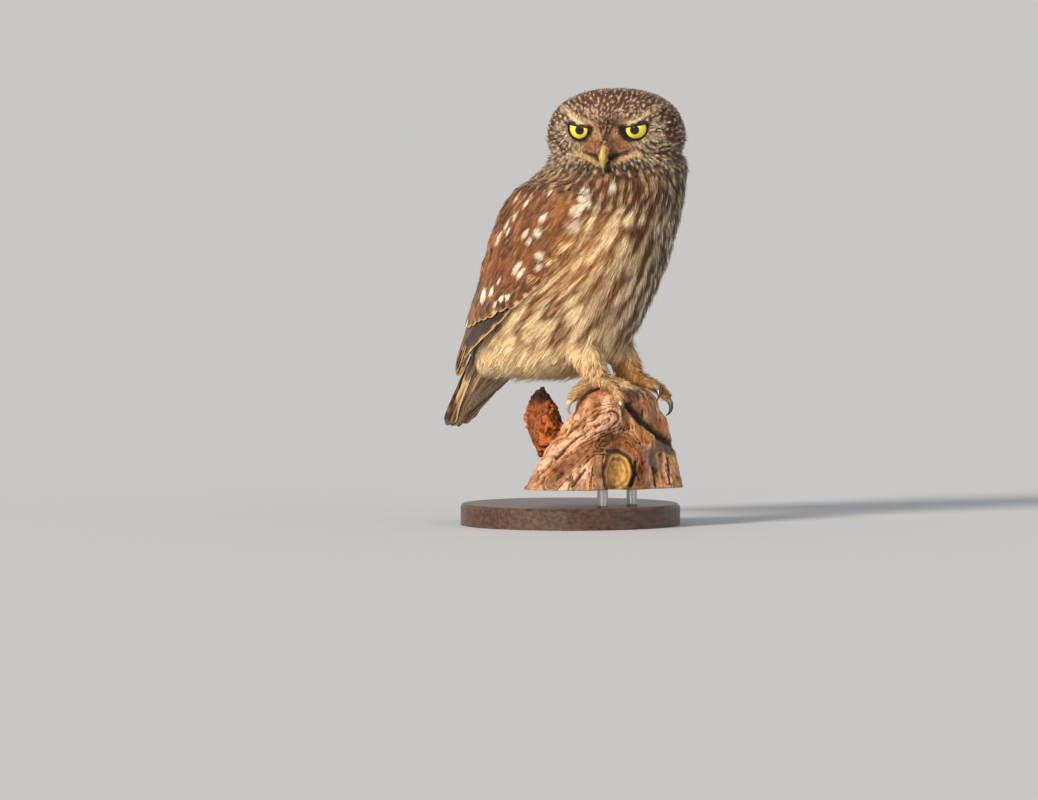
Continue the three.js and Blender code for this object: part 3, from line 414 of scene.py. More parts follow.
# Colours of the body, legs and tail
NAPE_DARK = srgb("3c2517")
NAPE_PALE = srgb("e2c9a4")
COLLAR_BROWN = srgb("4e2c17")
COLLAR_PALE = srgb("cda273")
BREAST_BROWN = srgb("6d3d20")
FLANK_BROWN = srgb("b0743f")
BELLY_BROWN = srgb("7e4823")
SHADE_BROWN = srgb("452a17")
CREAM = srgb("fde3b2")
CREAM_WHITE = srgb("f4dfba")
VENT_CREAM = srgb("f6dcaa")
BACK_BROWN = srgb("70421f")
BACK_PALE = srgb("dcc8a6")
LEG_CREAM = srgb("dcb888")
LEG_GOLD = srgb("c48c48")
LEG_BROWN = srgb("8a6238")
TAIL_DARK = srgb("5e3f2c")
TAIL_BROWN = srgb("7d573c")
TAIL_BAR = srgb("d8b88a")
CLAW_DARK = srgb("2b2724")
CLAW_PALE = srgb("cdb896")

# Colours of the wings
SPOT_WHITE = srgb("f6ead6")
WING_BROWN = srgb("7a4624")
WING_WARM = srgb("9c602f")
WING_DEEP = srgb("512d17")
QUILL_DARK = srgb("271811")
QUILL_BROWN = srgb("613c25")
QUILL_EDGE = srgb("e6b573")

# Colours of the wood and the stand
WOOD_PINK = srgb("d6a688")
WOOD_TAN = srgb("bd885a")
WOOD_BROWN = srgb("6d4229")
WOOD_ORANGE = srgb("a9551c")
WOOD_DARK = srgb("23160f")
WOOD_GREY = srgb("5b565c")
WOOD_YELLOW = srgb("bd9350")
STAND_DARK = srgb("2c1a10")
STAND_BROWN = srgb("5a3a24")
STEEL = (0.55, 0.54, 0.52, 1)


# Noise from hashed lattice points


def hashed(cell):
    h = cell[..., 0] * 374761393 + cell[..., 1] * 668265263 + cell[..., 2] * 1442695041
    h = (h ^ (h >> 13)) * 1274126177 & 0xFFFFFFFF
    return ((h ^ (h >> 16)) & 0xFFFFFF) / 0x1000000


def noise(points):
    cell = np.floor(points).astype(np.int64)
    t = points - cell
    t = t * t * (3 - 2 * t)
    total = 0
    for corner in range(8):
        offset = np.array([corner & 1, corner >> 1 & 1, corner >> 2 & 1])
        weight = np.prod(np.where(offset == 1, t, 1 - t), axis=-1)
        total = total + weight * hashed(cell + offset)
    return total


def fractal(points, octaves):
    """Noise at several sizes, each half as strong as the one before."""
    total, scale, weight = 0, 1.0, 0.5
    for _ in range(octaves):
        total = total + weight * noise(points * scale + 17.3 * scale)
        scale *= 2.03
        weight *= 0.5
    return total / (1 - weight)


def streaked(points, lie, wide, long):
    """Noise that is drawn out along a direction."""
    lie = np.asarray(lie) / np.linalg.norm(lie)
    along = points @ lie
    flat = points - along[:, None] * lie
    return noise(flat / wide + (along / long)[:, None] * lie + 31.7)


def wobbled(p, size, amount):
    """Places moved a little, so that what is drawn at them has uneven edges."""
    shift = np.stack([noise(p / size + 11.3 * k) for k in range(3)], axis=1) - 0.5
    return p + shift * 2 * amount


# Frames

rod_left, rod_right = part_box("stand_rod_left"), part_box("stand_rod_right")
FEET = np.array([
    (rod_left[0].x + rod_left[1].x + rod_right[0].x + rod_right[1].x) / 4,
    (rod_left[0].y + rod_left[1].y) / 2,
    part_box("perch")[1].z,
])


def placed(points):
    """From millimetres beside the feet to the shared frame in metres."""
    return np.asarray(points) * MM + FEET


def local(points):
    return (np.asarray(points) - FEET) / MM


def turn_matrix():
    turn = Matrix.Rotation(math.radians(HEAD_TURN), 3, "Z")
    nod = Matrix.Rotation(math.radians(HEAD_NOD), 3, "X")
    return np.array(turn @ nod)


HEAD_AXES = turn_matrix()
TAIL_ALONG = unit(TAIL_TIP - TAIL_ROOT)
TAIL_LENGTH = float(np.linalg.norm(TAIL_TIP - TAIL_ROOT))
TAIL_OUT = np.array([0.0, -TAIL_ALONG[2], TAIL_ALONG[1]])


def to_head(points):
    return (points - HEAD_MIDDLE) @ HEAD_AXES


def make_camera():
    data = bpy.data.cameras.new("camera")
    data.sensor_width = SENSOR_WIDTH
    data.lens = SENSOR_WIDTH * CAMERA_DISTANCE / VIEW_WIDTH
    data.clip_end = CAMERA_REACH
    camera = bpy.data.objects.new("camera", data)
    bpy.context.scene.collection.objects.link(camera)
    azimuth, elevation = math.radians(VIEW_AZIMUTH), math.radians(VIEW_ELEVATION)
    right = np.array([math.cos(azimuth), math.sin(azimuth), 0])
    away = np.array([
        math.sin(azimuth) * math.cos(elevation),
        -math.cos(azimuth) * math.cos(elevation),
        math.sin(elevation),
    ])
    up = np.cross(away, right)
    target = right * VIEW_MIDDLE_ACROSS + up * VIEW_MIDDLE_UP
    place = Matrix([[*column] for column in zip(right, up, away)]).to_4x4()
    place.translation = placed(target + away * CAMERA_DISTANCE)
    camera.matrix_world = place
    bpy.context.scene.camera = camera
    return right, up, away


view_right, view_up, view_away = make_camera()


def through_picture(tree, x, y):
    """The nearest place on a surface that shows at a pixel of the picture."""
    scale = VIEW_WIDTH / PICTURE_WIDTH
    middle = view_right * VIEW_MIDDLE_ACROSS + view_up * VIEW_MIDDLE_UP
    eye = middle + view_away * CAMERA_DISTANCE
    across = view_right * (x - PICTURE_WIDTH / 2) * scale
    aim = middle + across + view_up * (PICTURE_HEIGHT / 2 - y) * scale
    hit = tree.ray_cast(Vector(eye), Vector(aim - eye).normalized())
    return None if hit[0] is None else np.array(hit[0])


# Meshes


def new_object(name, points, faces, material=None, smooth_shading=True):
    """An object from points in millimetres beside the feet and a list or array of faces."""
    mesh = bpy.data.meshes.new(name)
    if isinstance(faces, np.ndarray):
        count, corners = faces.shape
        mesh.vertices.add(len(points))
        mesh.vertices.foreach_set("co", placed(points).astype(np.float32).ravel())
        mesh.loops.add(count * corners)
        mesh.loops.foreach_set("vertex_index", faces.astype(np.int32).ravel())
        mesh.polygons.add(count)
        starts = np.arange(0, count * corners, corners, dtype=np.int32)
        mesh.polygons.foreach_set("loop_start", starts)
        mesh.update(calc_edges=True)
    else:
        mesh.from_pydata(placed(points), [], faces)
    if smooth_shading:
        mesh.shade_smooth()
    obj = bpy.data.objects.new(name, mesh)
    bpy.context.scene.collection.objects.link(obj)
    if material:
        mesh.materials.append(material)
    return obj


def vertex_values(mesh, field):
    values = np.zeros(len(mesh.vertices) * 3, np.float32)
    mesh.vertices.foreach_get(field, values)
    return values.reshape(-1, 3).astype(float)


def points_of(mesh):
    return local(vertex_values(mesh, "co"))


def normals_of(mesh):
    return vertex_values(mesh, "normal")


def triangles_of(mesh):
    mesh.calc_loop_triangles()
    tri = np.zeros(len(mesh.loop_triangles) * 3, np.int32)
    mesh.loop_triangles.foreach_get("vertices", tri)
    return tri.reshape(-1, 3)


def node_points(node):
    return points_of(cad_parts[node].data)


def remeshed(name, nodes, voxel, swell=0.25, smoothing=6):
    """One smooth closed mesh over some of the solids, which are swollen a little so that they join."""
    points, faces, start = [], [], 0
    for node in nodes:
        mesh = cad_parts[node].data
        keys, index = np.unique(np.round(points_of(mesh), 3), axis=0, return_inverse=True)
        corners = index.ravel()[triangles_of(mesh)]
        first, second, third = (keys[corners[:, c]] for c in range(3))
        normal = np.cross(second - first, third - first)
        spread = np.zeros_like(keys)
        for c in range(3):
            np.add.at(spread, corners[:, c], normal)
        points.append(keys + unit(spread) * swell)
        faces.append(corners + start)
        start += len(keys)
    obj = new_object(name, np.vstack(points), np.vstack(faces))
    remesh = obj.modifiers.new("remesh", "REMESH")
    remesh.mode = "VOXEL"
    remesh.voxel_size = voxel * MM
    relax = obj.modifiers.new("relax", "SMOOTH")
    relax.iterations = smoothing
    graph = bpy.context.evaluated_depsgraph_get()
    mesh = bpy.data.meshes.new_from_object(obj.evaluated_get(graph))
    obj.modifiers.clear()
    obj.data = mesh
    mesh.shade_smooth()
    return obj


def set_points(obj, points):
    obj.data.vertices.foreach_set("co", placed(points).astype(np.float32).ravel())
    obj.data.update()


def tree_of(obj):
    """A search tree over an object's surface, in millimetres beside the feet."""
    return BVHTree.FromPolygons(points_of(obj.data).tolist(), triangles_of(obj.data).tolist())


def node_tree(names):
    """A search tree over the surfaces of some solids."""
    points, corners, start = [], [], 0
    for name in names:
        at = node_points(name)
        points.append(at)
        corners.append(triangles_of(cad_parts[name].data) + start)
        start += len(at)
    return BVHTree.FromPolygons(np.vstack(points).tolist(), np.vstack(corners).tolist())


def distance_to(tree, points):
    return np.array([tree.find_nearest(p)[3] for p in points.tolist()])


def set_colour(obj, colours):
    attribute = obj.data.attributes.new("marking", "FLOAT_COLOR", "POINT")
    rgba = np.ones((len(colours), 4), np.float32)
    rgba[:, :3] = colours
    attribute.data.foreach_set("color", rgba.ravel())


def set_uv(obj, name, vertex_uv):
    layer = obj.data.uv_layers.new(name=name)
    corner = np.zeros(len(obj.data.loops), np.int32)
    obj.data.loops.foreach_get("vertex_index", corner)
    layer.data.foreach_set("uv", vertex_uv[corner].astype(np.float32).ravel())


def set_material(obj, material):
    obj.data.materials.clear()
    obj.data.materials.append(material)


def settled(obj, slot, *replaced):
    """Lets a piece ride on the body and puts it in the place of some solids. Its slot is not used."""
    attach(obj, "root")
    if replaced:
        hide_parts(*replaced)


def dress(obj, colour, material, slot, *replaced):
    """Gives a finished form its markings and its material, and puts it in its place."""
    set_colour(obj, colour)
    set_material(obj, material)
    settled(obj, slot, *replaced)


def grid_faces(rows, columns, shift=0, flip=False, closed=False):
    """Faces of a grid of points. A closed one joins its last column to its first."""
    faces = []
    for r in range(rows - 1):
        for c in range(columns if closed else columns - 1):
            a = shift + r * columns + c
            b = shift + r * columns + (c + 1) % columns
            quad = (a, b, b + columns, a + columns)
            faces.append(quad[::-1] if flip else quad)
    return faces


def shell_faces(rows, columns, flip=False):
    """Faces of a closed shell of two grids: the upper one, the lower one and the rim between them."""
    count = rows * columns
    faces = grid_faces(rows, columns, 0, flip) + grid_faces(rows, columns, count, not flip)
    rim = list(range(columns)) + [r * columns + columns - 1 for r in range(1, rows)]
    rim += [(rows - 1) * columns + c for c in range(columns - 2, -1, -1)]
    rim += [r * columns for r in range(rows - 2, 0, -1)]
    for a, b in zip(rim, rim[1:] + rim[:1]):
        faces.append((a, b, b + count, a + count) if flip else (b, a, a + count, b + count))
    return faces


# Places and directions on surfaces


def on_tree(tree, points):
    """The nearest places on a surface, with its normals there."""
    at = np.empty_like(points)
    normal = np.empty_like(points)
    for i, point in enumerate(points.tolist()):
        hit, out, _, _ = tree.find_nearest(point)
        at[i] = hit
        normal[i] = out
    return at, normal


def along_surface(lie, normal):
    """Unit directions along a surface, nearest to those given."""
    return unit(lie - normal * np.sum(lie * normal, axis=1, keepdims=True))


def cells_around(reach):
    return list(itertools.product(range(-reach, reach + 1), repeat=3))


def scatter(obj, spacing_at, keep_at, seed):
    """Places spread over a surface with at least their own spacing between them."""
    draw = np.random.default_rng(seed)
    points = points_of(obj.data)
    corners = triangles_of(obj.data)
    a, b, c = (points[corners[:, i]] for i in range(3))
    area = np.linalg.norm(np.cross(b - a, c - a), axis=1) / 2
    middle = (a + b + c) / 3
    spacing = spacing_at(middle) if callable(spacing_at) else np.full(len(middle), spacing_at)
    expected = np.where(keep_at(middle), area / spacing**2 * SCATTER_TRIES, 0)
    count = int(expected.sum())
    chosen = draw.choice(len(area), count, p=expected / expected.sum())
    r1, r2 = np.sqrt(draw.random(count)), draw.random(count)
    places = a[chosen] * (1 - r1)[:, None] + b[chosen] * (r1 * (1 - r2))[:, None]
    places = places + c[chosen] * (r1 * r2)[:, None]
    gap = spacing[chosen]
    cell = float(gap.min())
    around = cells_around(int(math.ceil(gap.max() / cell)))
    keys = map(tuple, np.floor(places / cell).astype(int).tolist())
    taken, kept = {}, []
    for n, (place, key, room) in enumerate(zip(places.tolist(), keys, gap.tolist())):
        x, y, z = key
        near = (taken.get((x + i, y + j, z + k), ()) for i, j, k in around)
        if all(squared_gap(place, other) >= room * room for cell_places in near for other in cell_places):
            taken.setdefault(key, []).append(place)
            kept.append(n)
    return places[kept]


def squared_gap(a, b):
    dx, dy, dz = a[0] - b[0], a[1] - b[1], a[2] - b[2]
    return dx * dx + dy * dy + dz * dz


def side_of(values):
    """-1 on the owl's right and 1 on its left."""
    return np.where(values < 0, -1.0, 1.0)


def stacked(p, x, y, z):
    """Vectors at all places. Each part is one number or one for each place."""
    return np.stack([np.broadcast_to(part, len(p)).astype(float) for part in (x, y, z)], axis=1)


def head_share(p):
    """1 on the head, 0 on the body, smoothly across the neck."""
    return smooth(NECK_LOW, NECK_HIGH, p[:, 2])


def face_share(p):
    """1 on the short-feathered face, 0 on the rest of the head."""
    h = to_head(p)
    round_face = np.hypot(h[:, 0] / 30, h[:, 2] / 19)
    return smooth(1.08, 0.82, round_face) * smooth(-10, -17, h[:, 1])


def head_lie(p):
    """Directions of the head's feathers, away from the bill and, beside the eyes, from the eyes."""
    h = to_head(p)
    away = unit(h - BILL_BASE)
    side = side_of(h[:, 0])
    from_eye = h - stacked(h, side * EYE_SIDE, EYE_FRONT, EYE_UP)
    reach = np.linalg.norm(from_eye, axis=1)
    outer = smooth(-6, 4, side * from_eye[:, 0] - 0.25 * from_eye[:, 2])
    share = outer * smooth(26, 9, reach) * (h[:, 1] < 2)
    lie = away * (1 - share)[:, None] + unit(from_eye) * share[:, None]
    lie[:, 2] -= 1.1 * smooth(-5, 28, h[:, 1])
    lie[:, 2] -= 0.9 * smooth(-8, -26, h[:, 2])
    return lie @ HEAD_AXES.T


def body_lie(p):
    """Directions of the body's feathers: down the breast, and back along the flanks to the tail."""
    side = np.clip(np.abs(p[:, 0]) / 40, 0, 1)
    flank = mix(0.45, 1.25, side**1.4)
    behind = smooth(30, 65, p[:, 1]) * smooth(20, 50, p[:, 2])
    back = mix(0.15, flank, smooth(112, 70, p[:, 2])) * (1 - behind) + 0.45 * behind
    under = smooth(14, 4, p[:, 2])
    back = back * (1 - under) + 1.0 * under
    return stacked(p, np.sign(p[:, 0]) * 0.16 * smooth(-5, -25, p[:, 1]), back, -1.0)


def leg_lie(p):
    """Directions of the feathers of legs and toes: down, and out along the toes."""
    out = p - stacked(p, side_of(p[:, 0]) * LEG_SIDE, LEG_MIDDLE, p[:, 2])
    on_toe = smooth(6, 1, p[:, 2])
    return stacked(p, 0.0, 0.0, -1.0) + unit(out) * (2.0 * on_toe)[:, None]


def coat_lie(p):
    share = head_share(p)[:, None]
    return unit(head_lie(p)) * share + unit(body_lie(p)) * (1 - share)


def drape(tree, roots, lengths, lie_at, steps, free=0.0):
    """Lines that run from the roots over a surface along the lie, with their normals and sides."""
    at, normal = on_tree(tree, roots)
    line, ups, alongs = [at], [normal], []
    step = (lengths / (steps - 1))[:, None]
    ahead = along_surface(lie_at(at), normal)
    for k in range(steps - 1):
        tangent = along_surface(unit(lie_at(at)) * 0.6 + ahead * 0.4, normal)
        alongs.append(tangent)
        snapped, fresh = on_tree(tree, at + tangent * step)
        loose = np.asarray(free)[..., None] * ((k + 1) / (steps - 1))
        at = snapped * (1 - loose) + (at + unit(mix(tangent, ahead, 0.5)) * step) * loose
        normal = unit(fresh * 0.7 + normal * 0.3)
        ahead = tangent
        line.append(at)
        ups.append(normal)
    alongs.append(alongs[-1])
    line, ups, alongs = (np.stack(a, axis=1) for a in (line, ups, alongs))
    return {"line": line, "up": ups, "side": unit(np.cross(ups, alongs))}


# Tufts: each a fan of barbs, which are flat tapering ribbons from the shaft to the edge


def tuft_pattern(barbs, stations):
    """Where a tuft's vertices lie: barb, place along it and which edge of the ribbon."""
    barb, along, edge, faces = [], [], [], []
    for b in range(barbs):
        first = len(barb)
        for s in range(stations):
            barb += [b, b]
            along += [s / stations, s / stations]
            edge += [-1, 1]
        barb.append(b)
        along.append(1.0)
        edge.append(0)
        for i in range(first, first + 2 * stations - 2, 2):
            faces += [(i, i + 1, i + 3), (i, i + 3, i + 2)]
        i = first + 2 * (stations - 1)
        faces.append((i, i + 1, i + 2))
    return np.array(barb), np.array(along), np.array(edge), np.array(faces)


def sample_line(field, along):
    """Reads values kept at equal steps along each line at any share of its length."""
    steps = field.shape[1]
    place = np.clip(along, 0, 1.15) * (steps - 1)
    low = np.clip(np.floor(place).astype(int), 0, steps - 2)
    t = (place - low)[..., None]
    row = np.arange(len(field))[:, None]
    return field[row, low] * (1 - t) + field[row, low + 1] * t


def tufts(draped, barbs, stations, half, barb_half, rise, seed, root_spread=0.25, sink=0.3):
    """Points, faces and barb places of many tufts that lie along draped lines."""
    draw = np.random.default_rng(seed)
    barb, along, edge, faces = tuft_pattern(barbs, stations)
    count = len(draped["line"])
    aim = np.linspace(-1, 1, barbs)[None, :] + draw.normal(0, 0.5 / barbs, (count, barbs))
    reach = (1.02 - 0.2 * aim**2) * draw.uniform(0.82, 1.06, (count, barbs))
    start = 0.04 + 0.26 * (1 - np.abs(aim)) * draw.random((count, barbs))
    roll = draw.normal(0, 0.32, (count, barbs))
    height = draw.uniform(0.65, 1.1, (count, barbs)) - 0.22 * aim**2
    bend = draw.normal(0, 0.1, (count, barbs))
    aim, reach, start, roll, height, bend = (a[:, barb] for a in (aim, reach, start, roll, height, bend))
    v = start + (reach - start) * along[None, :]
    x = aim * (root_spread + (1 - root_spread) * np.clip(v * 1.35, 0, 1) ** 0.8)
    x = x * (1 - 0.42 * np.clip(v - 0.55, 0, 1) ** 1.2) + bend * v**2
    width = half[:, None]
    ribbon = barb_half * (0.75 + 0.25 * np.sin(along * math.pi)) * (1 - along**3)
    line = sample_line(draped["line"], v)
    up = unit(sample_line(draped["up"], v))
    side = unit(sample_line(draped["side"], v))
    across = x * width + edge * ribbon
    raised = rise[:, None] * height * ((1 + sink) * v - sink)
    out = raised + roll * edge * ribbon - 0.25 * across**2 / (width * 6)
    points = line + side * across[..., None] + up * out[..., None]
    row = np.arange(count)
    shift = (row * len(barb))[:, None, None]
    return {
        "points": points.reshape(-1, 3),
        "faces": (faces[None] + shift).reshape(-1, 3),
        "place": np.stack([x, v], axis=-1).reshape(-1, 2),
        "tuft": np.repeat(row, len(barb)),
        "barb": (row[:, None] * barbs + barb[None, :]).ravel(),
        "count": count,
        "barbs": barbs,
    }


def unwrap(points, middle):
    """A square map of the directions round a middle: the skin's own shape laid flat, with no camera."""
    d = points - middle
    d = d / np.abs(d).sum(axis=1, keepdims=True)
    folded = (1 - np.abs(d[:, [1, 0]])) * np.where(d[:, :2] >= 0, 1, -1)
    flat = np.where(d[:, 2:] < 0, folded, d[:, :2])
    return flat * BAKE_SPREAD + 0.5


def coat_colours(made, lie_at, seed, colour_at, slip):
    """The place's own colour at each vertex, with barbs that differ and painted shade at the roots."""
    draw = np.random.default_rng(seed)
    count, barbs = made["count"], made["barbs"]
    slide = draw.normal(0, slip, count * barbs)[made["barb"]]
    lie = unit(lie_at(made["points"]))
    colours = colour_at(made["points"], lie * slide[:, None])
    tone = 1 + draw.normal(0, BARB_TONE, count * barbs)[made["barb"]]
    tone = tone + draw.normal(0, TUFT_TONE, count)[made["tuft"]]
    x, v = made["place"][:, 0], made["place"][:, 1]
    shaft = 1 - 0.16 * smooth(0.3, 0.1, np.abs(x)) * smooth(0.1, 0.4, v)
    # Painted shade: each tuft is darker towards its root, where the tufts over it shade it
    root_shade = ROOT_PAINTED_SHADE + (1 - ROOT_PAINTED_SHADE) * smooth(0.0, 0.5, v)
    return colours * np.clip(tone * root_shade * shaft, 0.2, 1.5)[:, None]


def coat_piece(name, kind, roots, made, lie_at, seed, colour_at, slip):
    """A piece of the coat with its markings and its bake map, where each barb has its place in its tuft's
    patch.
    """
    middle, material, slot = kind
    obj = new_object(name, made["points"], made["faces"], material, smooth_shading=False)
    set_colour(obj, coat_colours(made, lie_at, seed, colour_at, slip))
    patch = made["place"] * [0.5, 1.0] - [0.0, 0.5]
    set_uv(obj, "OFBake", unwrap(roots, middle)[made["tuft"]] + patch * BAKE_PATCH)
    settled(obj, slot)


# Materials


class Surface:
    """A material of nodes round one shader. Its constants are the shader's own settings."""

    def __init__(self, name, settings):
        self.material = bpy.data.materials.new(name)
        self.material.use_nodes = True
        self.tree = self.material.node_tree
        self.shader = self.tree.nodes["Principled BSDF"]
        for socket, value in settings.items():
            self.shader.inputs[socket].default_value = value

    def add(self, kind, constants, sources, **choices):
        """A node with its constant inputs, what feeds the others, and its own choices."""
        node = self.tree.nodes.new(f"ShaderNode{kind}")
        for choice, value in choices.items():
            setattr(node, choice, value)
        for socket, value in constants.items():
            node.inputs[socket].default_value = value
        for socket, source in sources.items():
            self.tree.links.new(source, node.inputs[socket])
        return node

    def feed(self, socket, source):
        self.tree.links.new(source, self.shader.inputs[socket])

    def noise(self, scale, detail, stretch=(1.0, 1.0, 1.0)):
        place = self.add("TexCoord", {}, {}).outputs["Object"]
        place = self.add("Mapping", {"Scale": stretch}, {"Vector": place}).outputs["Vector"]
        size = {"Scale": scale, "Detail": detail}
        return self.add("TexNoise", size, {"Vector": place}).outputs["Fac"]

    def spread(self, texture, low, high):
        """The middle part of some noise, drawn out from one value to another."""
        limits = {"From Min": 0.3, "From Max": 0.7, "To Min": low, "To Max": high}
        return self.add("MapRange", limits, {"Value": texture}).outputs["Result"]

    def show_markings(self, texture, low, high):
        """The piece's own markings, made darker and lighter by some noise."""
        marking = self.add("Attribute", {}, {}, attribute_name="marking").outputs["Color"]
        sources = {6: marking, 7: self.spread(texture, low, high)}
        mixed = self.add("Mix", {"Factor": 1.0}, sources, data_type="RGBA", blend_type="MULTIPLY")
        self.feed("Base Color", mixed.outputs[2])

    def roughen(self, texture, strength, distance):
        bump = self.add("Bump", {"Strength": strength, "Distance": distance}, {"Height": texture})
        self.feed("Normal", bump.outputs["Normal"])


def plumage_material(name, roughness=0.72, sheen=0.25):
    """Loose feathers: their markings with a fine speckle, dull and a little soft at grazing light."""
    settings = {"Sheen Weight": sheen, "Sheen Roughness": 0.5, "Specular IOR Level": 0.25}
    surface = Surface(name, settings)
    fine = surface.noise(900.0, 2.0)
    surface.show_markings(fine, 0.78, 1.22)
    surface.feed("Roughness", surface.spread(fine, roughness - 0.08, roughness + 0.08))
    return surface.material


def vane_plumage(name):
    """Smooth close barbs: fine lines that slant from the shaft to the edge."""
    surface = Surface(name, {"Roughness": 0.5, "Sheen Weight": 0.15, "Specular IOR Level": 0.35})
    place = surface.add("UVMap", {}, {}, uv_map="vane").outputs["UV"]
    parts = surface.add("SeparateXYZ", {}, {"Vector": place}).outputs
    across = surface.add("Math", {1: 0.5}, {0: parts["X"]}, operation="SUBTRACT").outputs[0]
    aside = surface.add("Math", {}, {0: across}, operation="ABSOLUTE").outputs[0]
    slant = surface.add("Math", {1: -0.22}, {0: aside, 2: parts["Y"]}, operation="MULTIPLY_ADD").outputs[0]
    fine = {"Scale": 170.0, "Detail": 2.0}
    barbs = surface.add("TexNoise", fine, {"W": slant}, noise_dimensions="1D").outputs["Fac"]
    surface.show_markings(barbs, 0.78, 1.2)
    surface.roughen(barbs, 0.35, 0.0002)
    return surface.material


def painted_material(name, roughness, coat=0.0, specular=0.5, speckle=0.06, scale=700.0, bump=0.0):
    """A surface that takes its colour from its markings, with a fine unevenness."""
    gloss = {"Coat Weight": coat, "Coat Roughness": 0.04, "Specular IOR Level": specular}
    surface = Surface(name, {"Roughness": roughness, **gloss})
    fine = surface.noise(scale, 3.0)
    surface.show_markings(fine, 1 - speckle, 1 + speckle)
    if bump:
        surface.roughen(fine, bump, 0.0004)
    return surface.material


def stand_wood_material():
    surface = Surface("stand_wood", {"Coat Weight": 0.25, "Coat Roughness": 0.2})
    grain = surface.noise(60.0, 6.0, (1.0, 9.0, 9.0))
    ramp = surface.add("ValToRGB", {}, {"Fac": grain})
    stops = ramp.color_ramp.elements
    stops[0].position = 0.35
    stops[1].position = 0.68
    stops[0].color = (*STAND_DARK, 1)
    stops[1].color = (*STAND_BROWN, 1)
    surface.feed("Base Color", ramp.outputs["Color"])
    surface.feed("Roughness", surface.spread(grain, 0.38, 0.5))
    return surface.material


def steel_material():
    surface = Surface("stand_steel", {"Base Color": STEEL, "Metallic": 1.0})
    brushed = surface.noise(900.0, 2.0, (1.0, 1.0, 0.06))
    surface.feed("Roughness", surface.spread(brushed, 0.24, 0.4))
    return surface.material


head_material = plumage_material("head_feathers")
body_material = plumage_material("body_feathers")
leg_material = plumage_material("leg_feathers", roughness=0.8)
skin_material = plumage_material("skin_under_feathers", roughness=0.9, sheen=0.1)
vane_material = vane_plumage("vane_feathers")
eye_material = painted_material("eye_wet", 0.25, coat=1.0, specular=0.15, speckle=0.03, scale=1200.0)
lid_material = painted_material("lid_skin", 0.42, speckle=0.2, scale=1500.0, bump=0.3)
horn_material = painted_material("bill_horn", 0.34, coat=0.15, speckle=0.1, scale=500.0, bump=0.15)
claw_material = painted_material("claw_horn", 0.3, coat=0.2, speckle=0.12, scale=600.0, bump=0.12)
wood_material = painted_material("dead_wood", 0.85, specular=0.2, speckle=0.25, scale=420.0, bump=0.6)

# What each kind of coat has: the middle of its bake map, its material and its slot
HEAD_KIND = (HEAD_MIDDLE, head_material, "head_plumage")
BODY_KIND = (BODY_MIDDLE, body_material, "body_plumage")
LEG_KINDS = {
    side: (np.array([x, LEG_MIDDLE, 4.0]), leg_material, "leg_plumage")
    for side, x in (("right", -LEG_SIDE), ("left", LEG_SIDE))
}

# Skin: one closed surface over the solids of flesh, drawn in by the depth of the coat


def coat_depth(p, leg):
    head = head_share(p)
    depth = mix(DEPTH_BODY, DEPTH_HEAD, head)
    depth = mix(depth, DEPTH_FACE, face_share(p) * head)
    foot = mix(DEPTH_LEG, DEPTH_TOE, smooth(8, 4, p[:, 2]))
    return mix(depth, foot, leg)


def make_skin():
    obj = remeshed("skin", FLESH_NODES, SKIN_VOXEL)
    at = points_of(obj.data)
    near_leg = distance_to(leg_tree, at)
    near_torso = distance_to(torso_tree, at)
    leg = smooth(1.6, 0.7, near_leg) * (at[:, 2] < 30)
    leg = np.where(near_torso < near_leg - 0.4, leg * 0.3, leg)
    set_points(obj, at - normals_of(obj.data) * coat_depth(at, leg)[:, None])
    return obj, leg


def smooth_form(name, nodes):
    """A search tree over solids as one smooth surface, a little under their own."""
    obj = remeshed(name, nodes, FORM_VOXEL, smoothing=16)
    set_points(obj, points_of(obj.data) - normals_of(obj.data) * WING_SINK)
    tree = tree_of(obj)
    bpy.data.objects.remove(obj)
    return tree


leg_tree = node_tree(LEG_NODES)
torso_tree = node_tree(["torso"])
wing_tree = node_tree(WING_NODES)
skin, skin_leg = make_skin()
skin_tree = tree_of(skin)
wing_form = smooth_form("wing_form", ["torso", "neck", *WING_NODES])
eye_places = [np.mean(node_points(f"eye_{side}"), axis=0) for side in ("right", "left")]


# Markings of the plumage: pale drops along the feathers, the same on skin and coat


class Marks:
    """Pale marks on a surface. Each is a drop along the lie, wider towards its tip."""

    CELL = 6.0
    REACH_OUT = 7.0

    def __init__(self, at, normal, lie, length, width, strength=None, soft=0.2):
        self.at = at
        self.normal = normal
        self.along = along_surface(lie, normal)
        self.across = np.cross(normal, self.along)
        self.length = length
        self.width = width
        self.strength = np.ones(len(at)) if strength is None else strength
        self.soft = np.broadcast_to(soft, len(at))

    def share(self, p):
        """How far inside a mark each place lies."""
        share = np.zeros(len(p))
        key = np.floor(p / self.CELL).astype(int)
        order = np.lexsort(key.T)
        rows = key[order]
        starts = np.r_[0, np.flatnonzero(np.any(np.diff(rows, axis=0), axis=1)) + 1, len(rows)]
        cells = {tuple(rows[i]): order[i:j] for i, j in zip(starts[:-1].tolist(), starts[1:].tolist())}
        for n, middle in enumerate(self.at):
            reach = max(self.length[n], self.width[n]) * 0.65 + 2.0
            low = np.floor((middle - reach) / self.CELL).astype(int)
            high = np.floor((middle + reach) / self.CELL).astype(int) + 1
            spans = [range(first, last) for first, last in zip(low, high)]
            near = [cells[cell] for cell in itertools.product(*spans) if cell in cells]
            if not near:
                continue
            near = np.concatenate(near)
            d = p[near] - middle
            v = d @ self.along[n] / (self.length[n] / 2)
            w = d @ self.across[n] / (self.width[n] / 2) / (1 + 0.35 * np.clip(v, -1, 1))
            inside = smooth(1 + self.soft[n], 1 - self.soft[n], np.hypot(v, w)) * self.strength[n]
            inside = inside * (np.abs(d @ self.normal[n]) < self.REACH_OUT)
            share[near] = np.maximum(share[near], inside)
        return share


